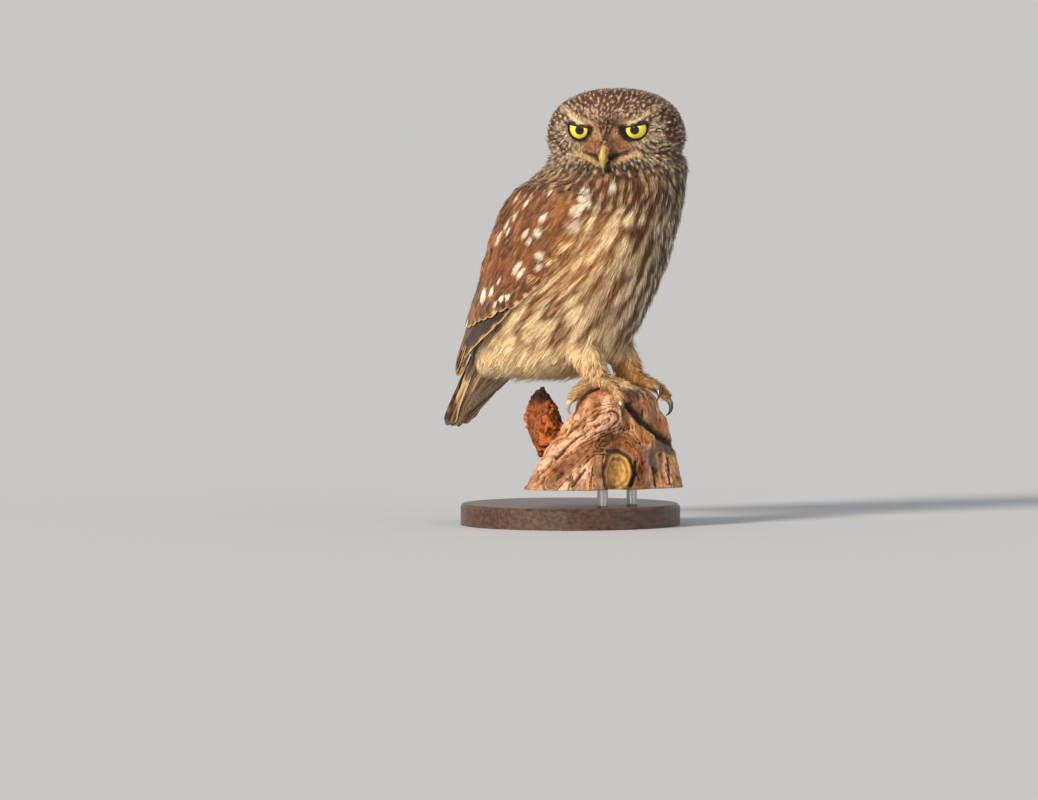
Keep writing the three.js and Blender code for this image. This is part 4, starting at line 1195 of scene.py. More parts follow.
def spots_shown(spots, sides, lie_at):
    """Marks where spots show in the picture, set on both sides of the owl or on one."""
    places, sizes = [], []
    for x, y, length, width in spots:
        at = through_picture(wing_form, x, y)
        if at is not None:
            places += [[abs(at[0]) * side, at[1], at[2]] for side in sides]
            sizes += [(length, width)] * len(sides)
    at, normal = on_tree(wing_form, np.array(places))
    length, width = np.array(sizes).T
    return Marks(at, normal, lie_at(at), length, width)


def segment_distance(x, z, start, end):
    sx, sz = start
    dx, dz = end[0] - sx, end[1] - sz
    t = np.clip(((x - sx) * dx + (z - sz) * dz) / (dx * dx + dz * dz), 0, 1)
    return np.hypot(x - sx - t * dx, z - sz - t * dz)


def polyline_distance(x, z, corners):
    return np.minimum.reduce([segment_distance(x, z, a, b) for a, b in zip(corners, corners[1:])])


def shaded_left_share(p):
    """1 on the owl's left breast, which is painted darker as shade and has closer, smaller pale marks of
    its own, and 0 on its right.
    """
    return smooth(-14, 8, p[:, 0]) * smooth(36, 25, p[:, 0]) * smooth(60, 35, p[:, 1])


def mark_spacing(p):
    """Room that each pale mark has."""
    head = head_share(p)
    face = face_share(p) * head
    body = mix(8.0, 5.6, shaded_left_share(p))
    body = mix(body, 4.5, smooth(86, 102, p[:, 2]))
    room = mix(body, 2.45, head)
    return mix(room, 1.9, face)


def mark_size(p, draw):
    """Length and width of the pale marks at some places."""
    head, left = head_share(p), shaded_left_share(p)
    face = face_share(p) * head
    upper = smooth(84, 100, p[:, 2])
    flank = smooth(25, 35, np.abs(p[:, 0])) * (1 - left) * smooth(30, 60, p[:, 2])
    length = mix(mix(mix(20.0, 10.0, left), 20.0, flank), 6.4, upper)
    width = mix(mix(mix(6.5, 3.2, left), 2.6, flank), 2.7, upper)
    length, width = mix(length, 2.3, head), mix(width, 1.1, head)
    crown = smooth(2, 6, to_head(p)[:, 2])
    length, width = mix(length, 2.2, face), mix(width, mix(0.8, 1.0, crown), face)
    return length * draw.uniform(0.6, 1.4, len(p)), width * draw.uniform(0.55, 1.45, len(p))


def make_marks():
    def keep(p):
        behind = (p[:, 1] > 62) & (p[:, 2] > 30) & (p[:, 2] < 112)
        return (p[:, 2] > 14) & ~behind

    at = scatter(skin, mark_spacing, keep, MARK_SEED)
    at, normal = on_tree(skin_tree, at)
    draw = np.random.default_rng(MARK_SEED + 1)
    length, width = mark_size(at, draw)
    head = head_share(at)
    lie = unit(coat_lie(at)) + draw.normal(0, 1, at.shape) * mix(0.08, 0.4, head)[:, None]
    return Marks(at, normal, lie, length, width, draw.uniform(0.5, 1.0, len(at)), mix(0.34, 0.25, head))


def make_back_marks():
    """Scattered pale spots over the back and shoulders."""

    def keep(p):
        return (p[:, 1] > 40) & (p[:, 2] > 52) & (p[:, 2] < 116)

    at = scatter(skin, 8.5, keep, BACK_MARK_SEED)
    at, normal = on_tree(skin_tree, at)
    draw = np.random.default_rng(BACK_MARK_SEED + 1)
    length, width = draw.uniform(2.8, 5.0, len(at)), draw.uniform(1.8, 3.2, len(at))
    return Marks(at, normal, coat_lie(at), length, width, draw.uniform(0.4, 0.9, len(at)))


pale_marks = make_marks()
back_marks = make_back_marks()
shoulder_spots = spots_shown(SHOULDER_SPOTS, (-1, 1), body_lie)


class Paint:
    """Dark and pale colour at each place, and the least share of it that is pale."""

    def __init__(self, count, dark, pale):
        self.dark = np.tile(dark, (count, 1))
        self.pale = np.tile(pale, (count, 1))
        self.floor = np.zeros(count)
        self.marked = np.ones(count)

    def lay(self, mask, dark, pale, floor=0.0, marked=1.0):
        self.dark = blend_colours(self.dark, dark, mask)
        self.pale = blend_colours(self.pale, pale, mask)
        self.floor = mix(self.floor, floor, mask)
        self.marked = mix(self.marked, marked, mask)


def paint_head(p):
    h = wobbled(to_head(p), 1.8, 0.45)
    x, y, z = np.abs(h[:, 0]), h[:, 1], h[:, 2]
    front = smooth(-8, -18, y)
    fine = smooth(0.44, 0.58, streaked(h, FACE_GRAIN, 0.95, 3.6))
    streak = smooth(0.52, 0.62, streaked(h, FACE_GRAIN, 1.0, 3.4))
    cloud = smooth(0.35, 0.65, noise(h / 5.0 + 3))
    fleck = smooth(0.56, 0.7, noise(h / 0.85 + 50)) * 0.6
    uneven = 5.0 * (noise(h / 2.4 + 21) - 0.5)
    aside, above = x - EYE_SIDE, z - EYE_UP
    from_eye = np.hypot(aside, above)

    # Crown, nape and forehead
    paint = Paint(len(p), CROWN_DARK, CROWN_PALE)
    paint.lay(cloud * 0.6, FOREHEAD_DARK, CROWN_PALE)
    paint.lay(smooth(8, -8, z) * smooth(-20, 4, y), NAPE_DARK, NAPE_PALE, 0.12 * fine)
    forehead = smooth(17, 5, x) * smooth(0, 7, z) * smooth(28, 16, z) * front
    paint.lay(forehead, FOREHEAD_DARK, CROWN_PALE, 0.06 * fine)

    # Disc round the eyes, cheeks and brows
    disc = smooth(20, 14, from_eye) * front * smooth(14, 8, z)
    paint.lay(disc, CHEEK_DARK, CHEEK_PALE, 0.02 + 0.4 * streak, 0.9)
    cheek = smooth(0, -6, z) * front * smooth(9, 14, x)
    paint.lay(cheek, CHEEK_DARK, CHEEK_PALE, 0.02 + 0.42 * streak, 0.9)
    ring = smooth(3.0, 1.2, np.abs(from_eye - 9.6)) * front * smooth(8, 2, z)
    paint.lay(ring * 0.4, CHEEK_DARK, CHEEK_PALE, 0.4)
    brow = smooth(2.7, 1.1, polyline_distance(x, z, BROW)) * front * (1 - fleck)
    paint.lay(brow, LORES_DEEP, BROW_PALE, 0.12 + 0.4 * fine)
    brow_line = smooth(1.1, 0.5, polyline_distance(x, z, BROW_LINE)) * front * 0.9
    paint.lay(brow_line, LORES, BROW_PALE, 0.8)

    # Lores beside the bill and the dark flecks between the eyes
    lores = smooth(9.6, 5.6, np.hypot(x - 6.2, (z - 0.5) * 0.85) + uneven) * front
    tan = 0.06 + 0.72 * smooth(-3.0, 2.5, z + uneven * 0.5) + 0.36 * fine * cloud
    paint.lay(lores, LORES_DEEP, LORES, tan * (1 - 1.3 * fleck), 0.3)
    patch = smooth(5.0, 1.0, polyline_distance(x, z, BILL_PATCH)) * front
    paint.lay(patch * 0.75, BILL_SIDE, LORES, 0.1 + 0.4 * fine, 0.4)
    between = smooth(0.9, -1.2, x - 1.4 - 0.52 * np.clip(z + 1, 0, 20))
    between = between * smooth(13, 8, z) * smooth(-3.5, -1, z)
    paint.lay(between * front, FLECK_DARK, FLECK_PALE, 1.1 * fleck, 0.25)

    # Dark rim of the eye, which runs out at its corners, and dark root of the bill
    inner = smooth(0.35, 0.9, -aside / from_eye) * side_of(h[:, 0])
    outer = smooth(0.8, 0.98, (0.88 * aside + 0.47 * above) / from_eye)
    rim = smooth(1.1, -0.1, from_eye - 6.9 - 0.4 * inner - 1.2 * outer)
    rim = rim * smooth(3.4, 1.0, above - 2.0 * outer)
    paint.lay(rim * front, RIM_DARK, FOREHEAD_DARK, 0.1, 0.1)
    dark_tip = smooth(2.6, 0.9, np.hypot(x, (z + 1.0) * 0.7)) * front
    paint.lay(dark_tip, CHIN_DARK, FOREHEAD_DARK, 0.3, 0.5)

    # Chin, mouth and the pale arc below it
    chin = smooth(-13.5, -16.5, z) * smooth(26, 17, x) * front
    paint.lay(chin, CHIN_DARK, CHIN_PALE, 0.14 * fine)
    mouth = smooth(1.8, 0.4, polyline_distance(x, z, MOUTH_LINE)) * front
    paint.lay(mouth * 0.85, CHIN_DARK, BILL_SIDE, 0.15, 0.2)
    gape = smooth(1.7, 0.6, polyline_distance(x, z, GAPE_ARC)) * front * smooth(21.5, 18, x)
    paint.lay(gape * (1 - fleck * 0.6), GAPE, BROW_PALE, 0.25 * fine, 0.3)
    return paint


def paint_body(p):
    y, z = p[:, 1], p[:, 2]
    front = smooth(66, 45, y)
    left = shaded_left_share(p)
    side = smooth(14, 34, np.abs(p[:, 0]))
    fine = smooth(0.42, 0.6, streaked(p, BREAST_GRAIN, 1.5, 9.0))
    cloud = smooth(0.3, 0.62, streaked(p, (0, 0.75, -0.66), 4.0, 12.0))
    lines = smooth(0.5, 0.62, streaked(p, TAIL_ALONG, 1.6, 30.0))
    collar = smooth(92, 106, z)
    paint = Paint(len(p), BREAST_BROWN, CREAM)
    paint.lay(side * smooth(100, 86, z) * (1 - left), FLANK_BROWN, CREAM, 0.34 * fine)
    paint.lay(smooth(66, 44, z), BELLY_BROWN, CREAM, 0.3 * fine)
    # Painted shade: the owl's left breast in a darker shade brown
    paint.lay(left * smooth(8, 40, z), SHADE_BROWN, CREAM_WHITE, 0.05)
    paint.lay(smooth(26, 12, z), FLANK_BROWN, VENT_CREAM, 0.66 + 0.3 * cloud)
    paint.lay((1 - front) * smooth(24, 40, z), BACK_BROWN, BACK_PALE, marked=0.0)
    paint.lay(collar * (1 - left), COLLAR_BROWN, COLLAR_PALE, 0.12 * fine)
    paint.lay(collar * left, NAPE_DARK, NAPE_PALE, 0.1 * fine)
    paint.lay(smooth(6, -6, z) * smooth(70, 84, y), TAIL_BROWN, TAIL_BAR, 0.2 + 0.6 * lines)
    return paint


def plumage(p, jitter=0.0):
    """Colour of the feathers at each place."""
    paint = paint_body(p)
    head = paint_head(p)
    paint.lay(head_share(p), head.dark, head.pale, head.floor, head.marked)
    at = p + jitter
    pale = np.maximum(paint.floor, pale_marks.share(at) * paint.marked)
    colour = blend_colours(paint.dark, paint.pale, pale)
    spots = shoulder_spots.share(at) * 0.66
    return layered(colour, (BACK_PALE, back_marks.share(at)), (SPOT_WHITE, spots))


def leg_colour(p, jitter=0.0):
    brown = smooth(0.52, 0.7, fractal((p + jitter) / 2.2 + 12, 2))
    gold = smooth(-2, 6, p[:, 0]) * 0.8 + smooth(0.4, 0.7, noise((p + jitter) / 6)) * 0.4
    cream = smooth(8, 18, p[:, 2]) * 0.6
    return layered(LEG_CREAM, (LEG_GOLD, np.clip(gold, 0, 1)), (LEG_BROWN, brown * 0.6), (CREAM, cream))


def finish_skin():
    at, leg = points_of(skin.data), skin_leg[:, None]
    colour = plumage(at) * (1 - leg) + leg_colour(at) * leg
    # The skin's colour is darkened as painted shade under the coat
    dress(skin, colour * SKIN_PAINTED_SHADE, skin_material, "body_plumage", *FLESH_NODES)


# Coat over the skin, region by region


def on_leg(p):
    """Whether places on the skin belong to a leg or foot."""
    leg = np.full(len(p), False)
    low = p[:, 2] < 26
    near_leg = distance_to(leg_tree, p[low])
    near_torso = distance_to(torso_tree, p[low])
    leg[low] = (near_leg < 2.4) & (near_leg < near_torso + 0.2)
    return leg


def covered_by_wing(p):
    """Whether a wing lies right outside each place of the skin."""
    at, normal = on_tree(skin_tree, p)
    rays = zip(at.tolist(), normal.tolist())
    hits = [wing_tree.ray_cast(Vector(start), Vector(out), WING_OVER)[0] for start, out in rays]
    return np.array([hit is not None for hit in hits])


def near_eye(p, reach):
    return np.minimum(*[np.linalg.norm(p - e, axis=1) for e in eye_places]) < reach


def ruff(p):
    """Where the feathers of the lower sides of the head stand out over the neck."""
    h = to_head(p)
    return smooth(9, -4, h[:, 2]) * smooth(-22, -10, h[:, 1]) * head_share(p)


def in_region(name, p):
    """Whether places on the skin belong to a region of the coat."""
    y, z = p[:, 1], p[:, 2]
    head = head_share(p)
    face = face_share(p) * head
    near = near_eye(p, EYE_CLEARANCE)
    if name == "eyelids":
        return (head > 0.5) & near_eye(p, LIDS_TO) & ~near_eye(p, LIDS_FROM)
    if name == "face":
        return (face > 0.5) & ~near
    if name == "crown":
        return (face <= 0.5) & (head > 0.5) & ~near
    if name == "neck":
        return (head <= 0.5) & (z > NECK_START)
    if name in ("breast", "back"):
        behind = y >= BACK_START
        return (z <= NECK_START) & (z > BELLY_TOP) & (behind if name == "back" else ~behind)
    leg = on_leg(p)
    if name == "belly":
        return (z <= BELLY_TOP) & (y < RUMP_START) & ~leg
    if name == "rump":
        under_tail = (z < 4) & (y > 84)
        return (z <= BELLY_TOP) & (y >= RUMP_START) & ~leg & ~under_tail
    side = p[:, 0] < 0 if name.endswith("right") else p[:, 0] >= 0
    return leg & side & ((z > TOE_TOP) if name.startswith("leg") else (z <= TOE_TOP))


def grow_coat(name, seed):
    size = COAT[name]
    limb, on_head = name in LEG_NODES, name in HEAD_REGIONS
    roots = scatter(skin, size["spacing"], lambda p: in_region(name, p), seed)
    if not limb and not on_head:
        roots = roots[~covered_by_wing(roots)]
    draw = np.random.default_rng(seed + 100)
    count = len(roots)
    lengths = size["length"] * draw.uniform(0.78, 1.18, count)
    free = 0.0
    if name in FRINGES:
        fringe = smooth(*FRINGES[name], roots[:, 2])
        free = fringe * draw.uniform(0.25, 1.0, count)
        lengths = lengths * (1 + fringe * draw.uniform(-0.2, 0.6, count))
    half = size["half"] * draw.uniform(0.8, 1.2, count)
    rise = size["rise"] * draw.uniform(0.7, 1.25, count)
    if name == "crown":
        lengths = lengths * (1 + 0.7 * ruff(roots))
        rise = rise * (1 + ruff(roots))
    lie_at = leg_lie if limb else coat_lie
    tree = wing_form if name == "neck" else skin_tree
    draped = drape(tree, roots, lengths, lie_at, COAT_STEPS, free)
    if name in FRINGES:
        hang = fringe * draw.uniform(0, FRINGE_HANG, count) ** 1.5
        draped["line"][:, :, 2] -= hang[:, None] * np.linspace(0, 1, COAT_STEPS) ** 2
    made = tufts(draped, size["barbs"], size["stations"], half, size["barb"], rise, seed + 200)
    kind = LEG_KINDS[name.split("_")[1]] if limb else HEAD_KIND if on_head else BODY_KIND
    colour_at, slip = leg_colour if limb else plumage, HEAD_SLIP if on_head else BODY_SLIP
    coat_piece(f"coat_{name}", kind, roots, made, lie_at, seed + 300, colour_at, slip)


def fine_tufts(size, obj, tree, keep_at, lie_at, steps, seed, sink=0.3):
    """Roots and meshes of the fine feathers on some part of the head."""
    roots = scatter(obj, size["spacing"], keep_at, seed)
    draw = np.random.default_rng(seed + 1)
    count = len(roots)
    lengths = draw.uniform(*size["length"], count)
    draped = drape(tree, roots, lengths, lie_at, steps, size["free"])
    rise = draw.uniform(*size["rise"], count)
    half = np.full(count, size["half"])
    made = tufts(draped, FINE_BARBS, size["stations"], half, size["barb"], rise, seed + 2, sink=sink)
    return roots, made


def grow_bristles(seed):
    """Fine feathers round the root of the bill that lie over its upper part."""
    bill_tree = node_tree(["bill_upper", "bill_lower"])

    def keep(p):
        h = to_head(p)
        beside = (np.abs(h[:, 0]) < 6.5) & (h[:, 1] < -12) & (h[:, 2] > -9.5) & (h[:, 2] < 4.0)
        beside[beside] = distance_to(bill_tree, p[beside]) < 3.8
        return beside

    def lie_at(p):
        return stacked(p, -0.35 * side_of(to_head(p)[:, 0]), -0.45, -1.0) @ HEAD_AXES.T

    def colour_at(p, jitter):
        return blend_colours(plumage(p, jitter), BILL_SIDE, np.full(len(p), 0.35))

    roots, made = fine_tufts(BRISTLES, skin, skin_tree, keep, lie_at, COAT_STEPS, seed)
    coat_piece("bristles", HEAD_KIND, roots, made, lie_at, seed + 3, colour_at, HEAD_SLIP)


# Wings: a closed core that carries coverts, which are tufts, over tiers of long closed vanes


def body_axis(z):
    return AXIS_FORWARD + (AXIS_HEIGHT - z) * AXIS_SLOPE


def round_body(p):
    """Angle round the body from the breast, in degrees, the same on both sides."""
    return np.degrees(np.arctan2(np.abs(p[:, 0]), body_axis(p[:, 2]) - p[:, 1]))


def eased(values, axis=0):
    """Values with their steps evened out along an axis."""
    values = np.moveaxis(np.array(values, float), axis, 0)
    for _ in range(EASE_PASSES):
        inner = (values[:-2] + 2 * values[1:-1] + values[2:]) / 4
        values = np.concatenate([values[:1], inner, values[-1:]])
    return np.moveaxis(values, 0, axis)


class Wing:
    """Heights and shares of a wing's breadth as a map of its outer face. Share 0 is its lower edge."""

    def __init__(self, name):
        self.name = name
        self.side = -1 if name == "right" else 1
        at = node_points(f"wing_{name}")
        angle = round_body(at)
        near = [np.abs(at[:, 2] - z) < 5 for z in WING_LEVELS]
        self.low = eased(np.array([np.percentile(angle[n], 1) for n in near]))
        self.high = eased(np.array([np.percentile(angle[n], 99) for n in near]))
        self.face = self.measured_face(smooth_form(f"wing_face_{name}", [f"wing_{name}"]))
        self.spots = spots_shown(WING_SPOTS, (self.side,), self.lie)

    def edges(self, z):
        return np.interp(z, WING_LEVELS, self.low), np.interp(z, WING_LEVELS, self.high)

    def share(self, p):
        low, high = self.edges(p[:, 2])
        return (round_body(p) - low) / (high - low)

    def outward(self, z, share):
        low, high = self.edges(z)
        angle = math.radians(low + (high - low) * share)
        return np.array([self.side * math.sin(angle), -math.cos(angle), 0.0])

    def cast(self, tree, z, share):
        """Where a level line towards the body's axis meets a surface."""
        out = self.outward(z, share)
        start = np.array([0.0, body_axis(z), z]) + out * 120
        hit = tree.ray_cast(Vector(start), Vector(-out))[0]
        return np.array(hit if hit is not None else tree.find_nearest(Vector(start - out * 75))[0])

    def measured_face(self, tree):
        """Distance of the wing's outer face from the body's axis by height and share, evened out."""
        face = np.zeros((len(WING_LEVELS), len(FACE_SHARES)))
        for i, z in enumerate(WING_LEVELS):
            for j, share in enumerate(FACE_SHARES):
                at = self.cast(tree, z, min(max(share, 0.14), 0.86))
                face[i, j] = math.hypot(at[0], at[1] - body_axis(z))
        ends = WING_LEVELS < FACE_ENDS
        steady = np.flatnonzero(~ends)[:3]
        slope = (face[steady[2]] - face[steady[0]]) / (WING_LEVELS[steady[2]] - WING_LEVELS[steady[0]])
        for i in np.flatnonzero(ends):
            face[i] = face[steady[0]] + slope * (WING_LEVELS[i] - WING_LEVELS[steady[0]])
        return eased(eased(face), axis=1)

    def face_point(self, z, share):
        level = (z - WING_LEVELS[0]) / (WING_LEVELS[1] - WING_LEVELS[0])
        level = np.clip(level, -1.5, len(WING_LEVELS) - 1.001)
        i = max(int(math.floor(level)), 0)
        columns = [np.interp(share, FACE_SHARES, self.face[row]) for row in (i, i + 1)]
        radius = mix(columns[0], columns[1], level - i)
        return np.array([0.0, body_axis(z), z]) + self.outward(z, share) * radius

    def face_place(self, z, share, outward=0.0):
        """A point on the wing's outer face, with its normal."""
        at = self.face_point(z, share)
        down = self.face_point(z - 3, share) - self.face_point(z + 3, share)
        around = self.face_point(z, share + 0.08) - self.face_point(z, share - 0.08)
        normal = unit(np.cross(down, around)) * self.side
        if normal @ self.outward(z, share) < 0:
            normal = -normal
        return at + normal * outward, normal

    def lie(self, p):
        return stacked(p, 0.0, mix(1.5, 0.62, smooth(0.0, 0.5, self.share(p))), -1.0)


def wing_brown(p):
    """Colour of the coverts away from their spots."""
    warm = smooth(0.35, 0.65, streaked(p, WING_GRAIN, 4.0, 14.0))
    deep = smooth(0.5, 0.8, streaked(p + 40, WING_GRAIN, 5.0, 10.0)) * 0.7
    fine = smooth(0.52, 0.66, streaked(p + 15, WING_GRAIN, 1.1, 6.0)) * 0.22
    return layered(WING_BROWN, (WING_WARM, warm), (WING_DEEP, deep), (COLLAR_PALE, fine))


def make_wing_core(wing):
    """The closed core of the wing under its coverts."""
    outer, inner = [], []
    for z in np.linspace(111, 30, CORE_ROWS):
        for share in np.linspace(0, 1, CORE_COLUMNS):
            edge = abs(2 * share - 1) ** 4
            sink = 0.6 + 1.6 * edge + 1.2 * smooth(104, 112, z)
            outer.append(wing.face_place(z, share, -sink)[0])
            inner.append(wing.face_place(z, share, -CORE_THICKNESS)[0])
    faces = shell_faces(CORE_ROWS, CORE_COLUMNS, wing.side > 0)
    obj = new_object(f"wing_core_{wing.name}", np.array(outer + inner), faces, body_material)
    # The core's colour is darkened as painted shade under the coverts
    set_colour(obj, wing_brown(points_of(obj.data)) * CORE_PAINTED_SHADE)
    settled(obj, "body_plumage")


def wing_roots(wing, draw, levels, shares):
    """Places spread over a part of the wing and its surroundings, with room between them."""
    places = [(z, share) for z in levels for share in shares]
    around = cells_around(1)
    taken, kept = {}, []
    for index in draw.permutation(len(places)):
        z, share = places[index]
        z += draw.uniform(-0.8, 0.8)
        at = wing.cast(wing_form, z, share + draw.uniform(-0.015, 0.015))
        key = tuple(np.floor(at / COVERT_SPACING).astype(int))
        near = [taken.get((key[0] + i, key[1] + j, key[2] + k), ()) for i, j, k in around]
        if all(np.sum((other - at) ** 2) > COVERT_SPACING**2 for cell in near for other in cell):
            taken.setdefault(key, []).append(at)
            kept.append(at)
    return np.array(kept)


def grow_on_wing(name, wing, size, draw, roots, seed, colour_at):
    """Tufts that lie over a wing from their roots."""
    count = len(roots)
    lengths = draw.uniform(*COVERT_LENGTH, count)
    draped = drape(wing_form, roots, lengths, wing.lie, COVERT_STEPS)
    half = draw.uniform(*size["half"], count)
    rise = draw.uniform(*size["rise"], count)
    shape = (draped, size["barbs"], COVERT_STATIONS, half, COVERT_BARB, rise)
    made = tufts(*shape, seed + 1, size["root_spread"])
    coat_piece(f"{name}_{wing.name}", BODY_KIND, roots, made, wing.lie, seed + 2, colour_at, size["slip"])


def grow_coverts(wing, seed):
    """The small feathers over the wing and the shoulder, with their spots."""
    draw = np.random.default_rng(seed)
    roots = wing_roots(wing, draw, np.linspace(44, 122, 66), np.linspace(-0.06, 1.04, 44))
    share = wing.share(roots)
    upper = smooth(0.1, 0.5, share)
    top = mix(105, 113, upper) + mix(6, 10, upper) * noise(roots / 7.0)
    bottom = mix(57, 45, smooth(0, 1, share))
    roots = roots[(roots[:, 2] > bottom) & (roots[:, 2] < top)]

    def colour_at(p, jitter):
        front = smooth(0.06, -0.05, wing.share(p))
        collar = smooth(102, 112, p[:, 2] + 5 * noise(p / 4.0))
        around = (plumage(p, jitter), np.maximum(front, collar))
        return layered(wing_brown(p), around, (SPOT_WHITE, wing.spots.share(p + jitter) * 0.88))

    grow_on_wing("coverts", wing, COVERTS, draw, roots, seed, colour_at)


def grow_wing_edge(wing, seed):
    """Feathers of the breast and flank that lie over the wing's front edge."""
    draw = np.random.default_rng(seed)
    roots = wing_roots(wing, draw, np.linspace(50, 118, 60), np.linspace(-0.28, 0.1, 18))
    roots = roots[roots[:, 2] < 102 + 8 * noise(roots / 6.0 + 20)]
    last = mix(-0.02, 0.1, smooth(52, 80, roots[:, 2])) + draw.normal(0, 0.03, len(roots))
    roots = roots[wing.share(roots) < last]
    grow_on_wing("coat_wing_edge", wing, WING_EDGE, draw, roots, seed, plumage)


# Vanes: closed thin blades with a raised shaft, for flight and tail feathers


def vane_width(v):
    """Half width of a vane along its length, with a narrow root and a rounded tip."""
    root = 0.45 + 0.55 * smooth(0, 0.35, v)
    tip = np.sqrt(np.clip(1 - ((v - 0.86) / 0.14).clip(0, 1) ** 2, 0, 1))
    return root * np.maximum(tip, 0.02)


def vane_points(one, draw):
    """Upper and lower face of one vane along its line of points."""
    v = np.linspace(0, 1, VANE_ROWS)
    columns, rows = VANE_COLUMNS[None, :], v[:, None]
    middle = sample_line(one["line"][None], v[None])[0]
    ups = unit(sample_line(one["up"][None], v[None])[0])
    sides = unit(sample_line(one["side"][None], v[None])[0])
    tilted = unit(sides + ups * one["roll"])
    over = unit(ups - sides * one["roll"])
    width = one["half"] * vane_width(rows)
    notch = sum(0.16 * np.exp(-(((rows - s) / 0.012) ** 2)) for s in draw.uniform(0.4, 0.85, 2))
    across = columns * width
    across = across * np.where(np.abs(columns) > 0.8, 1 - notch * (columns > 0), 1)
    ridge = 0.28 * np.exp(-((columns / 0.08) ** 2)) * (1 - 0.7 * rows)
    out = ridge - VANE_CAMBER * columns**2 * width / one["half"]
    out = out + 0.05 * np.sin(rows * 90 + np.abs(columns) * 9)
    top = middle[:, None] + tilted[:, None] * across[..., None] + over[:, None] * out[..., None]
    bottom = top - over[:, None] * (VANE_THICKNESS * (1 - 0.8 * columns**2))[..., None]
    places = np.stack(np.broadcast_arrays(columns, rows), axis=-1)
    return top.reshape(-1, 3), bottom.reshape(-1, 3), places.reshape(-1, 2)


def make_vanes(name, lines, colour_at, tones, seed, *replaced):
    """One piece of many vanes. Each has its own tone and its own patch of the bake map."""
    draw = np.random.default_rng(seed)
    faces = np.array(shell_faces(VANE_ROWS, len(VANE_COLUMNS)))
    size = 2 * VANE_ROWS * len(VANE_COLUMNS)
    points, places = [], []
    for one in lines:
        top, bottom, place = vane_points(one, draw)
        points += [top, bottom]
        places += [place, place]
    points, places = np.vstack(points), np.vstack(places)
    feather = np.repeat(np.arange(len(lines)), size)
    all_faces = np.vstack([faces + n * size for n in range(len(lines))])
    obj = new_object(name, points, all_faces, vane_material)
    set_colour(obj, colour_at(points, places, feather) * tones[feather][:, None])
    cells = int(math.ceil(math.sqrt(len(lines))))
    corner = np.stack([feather % cells, feather // cells], axis=1) / cells
    set_uv(obj, "OFBake", corner + (places * [0.45, 0.9] + [0.5, 0.05]) / cells)
    set_uv(obj, "vane", places * [0.5, 1] + [0.5, 0])
    settled(obj, "flight_feathers", *replaced)


def vane_line(line, up, half, roll=0.0):
    side = unit(np.cross(up, unit(np.gradient(line, axis=0))))
    return {"line": line, "up": up, "side": side, "half": half, "roll": roll}


def wing_line(wing, root, tip, half, rise):
    """A vane's line over the wing from (height, share) at its root to its tip."""
    shares = np.linspace(0, 1, 9)
    path = [(mix(root[0], tip[0], t), mix(root[1], tip[1], t), mix(*rise, t)) for t in shares]
    line, up = (np.array(part) for part in zip(*(wing.face_place(*place) for place in path)))
    for _ in range(2):
        up[1:-1] = unit(up[:-2] + 2 * up[1:-1] + up[2:])
        line[1:-1] = (line[:-2] + 2 * line[1:-1] + line[2:]) / 4
    return vane_line(line, up, half, wing.side * FLIGHT_ROLL)


def make_flight(wing, seed):
    draw = np.random.default_rng(seed)
    lines, tier_of, order = [], [], []
    for number, tier in enumerate(FLIGHT_TIERS):
        for f in (i / (tier["count"] - 1) for i in range(tier["count"])):
            share = mix(*tier["share"], f)
            arc = tier["arc"] * abs(share - tier["lowest"]) ** 1.8
            tip = tier["tip"] + arc + draw.uniform(-0.7, 0.7)
            half = mix(*tier["half"], f) * draw.uniform(0.94, 1.06)
            rise = [r + 0.5 * f + draw.uniform(-0.06, 0.06) for r in tier["rise"]]
            lines.append(wing_line(wing, (mix(*tier["root"], f), share), (tip, share), half, rise))
            tier_of.append(number)
            order.append(f)
    tier_of, order = np.array(tier_of), np.array(order)

    def colour_at(points, places, feather):
        outer, v = -places[:, 0] * wing.side, places[:, 1]
        upper = tier_of[feather]
        dark = smooth(0.1, 0.9, 0.95 - 0.5 * outer - 0.65 * upper)
        warm = smooth(0.42, 0.6, streaked(points, WING_GRAIN, 1.2, 7.0)) * mix(0.06, 0.6, upper)
        deep = smooth(0.55, 0.68, streaked(points + 31, WING_GRAIN, 1.0, 8.0)) * 0.7 * upper
        bars = smooth(0.25, 0.7, np.sin((v * 5.2 + order[feather] * 3.7) * 2 * math.pi))
        bars = bars * smooth(0.2, 0.6, outer) * smooth(0.1, 0.3, v) * smooth(0.97, 0.85, v)
        pale = np.maximum(smooth(0.78, 0.95, outer) * 0.85, bars * mix(0.4, 0.9, upper))
        pale = np.maximum(pale, smooth(0.95, 1.0, v) * mix(0.7, 0.3, upper))
        inner_edge = smooth(-0.86, -1.0, outer) * 0.4
        spots = wing.spots.share(points) * upper * 0.9
        base = layered(QUILL_BROWN, (QUILL_DARK, dark), (WING_WARM, warm), (QUILL_DARK, deep))
        return layered(base, (QUILL_EDGE, pale), (QUILL_EDGE, inner_edge), (SPOT_WHITE, spots))

    tones = draw.uniform(0.88, 1.12, len(lines))
    make_vanes(f"flight_{wing.name}", lines, colour_at, tones, seed + 5, f"wing_{wing.name}")


# Tail: pairs of feathers, the middle pair uppermost, with feathers over and under their roots


def tail_line(root_across, tip_across, start, end, layer, half):
    t = np.linspace(0, 1, 8)
    reach = start + (end - start) * t
    across = root_across + (tip_across - root_across) * t
    droop = -1.2 * t**2
    line = TAIL_ROOT + reach[:, None] * TAIL_ALONG + (layer + droop)[:, None] * TAIL_OUT
    line[:, 0] += across
    up = TAIL_OUT + stacked(t, across * 0.012, 0.0, 0.0)
    return vane_line(line, unit(up), half)


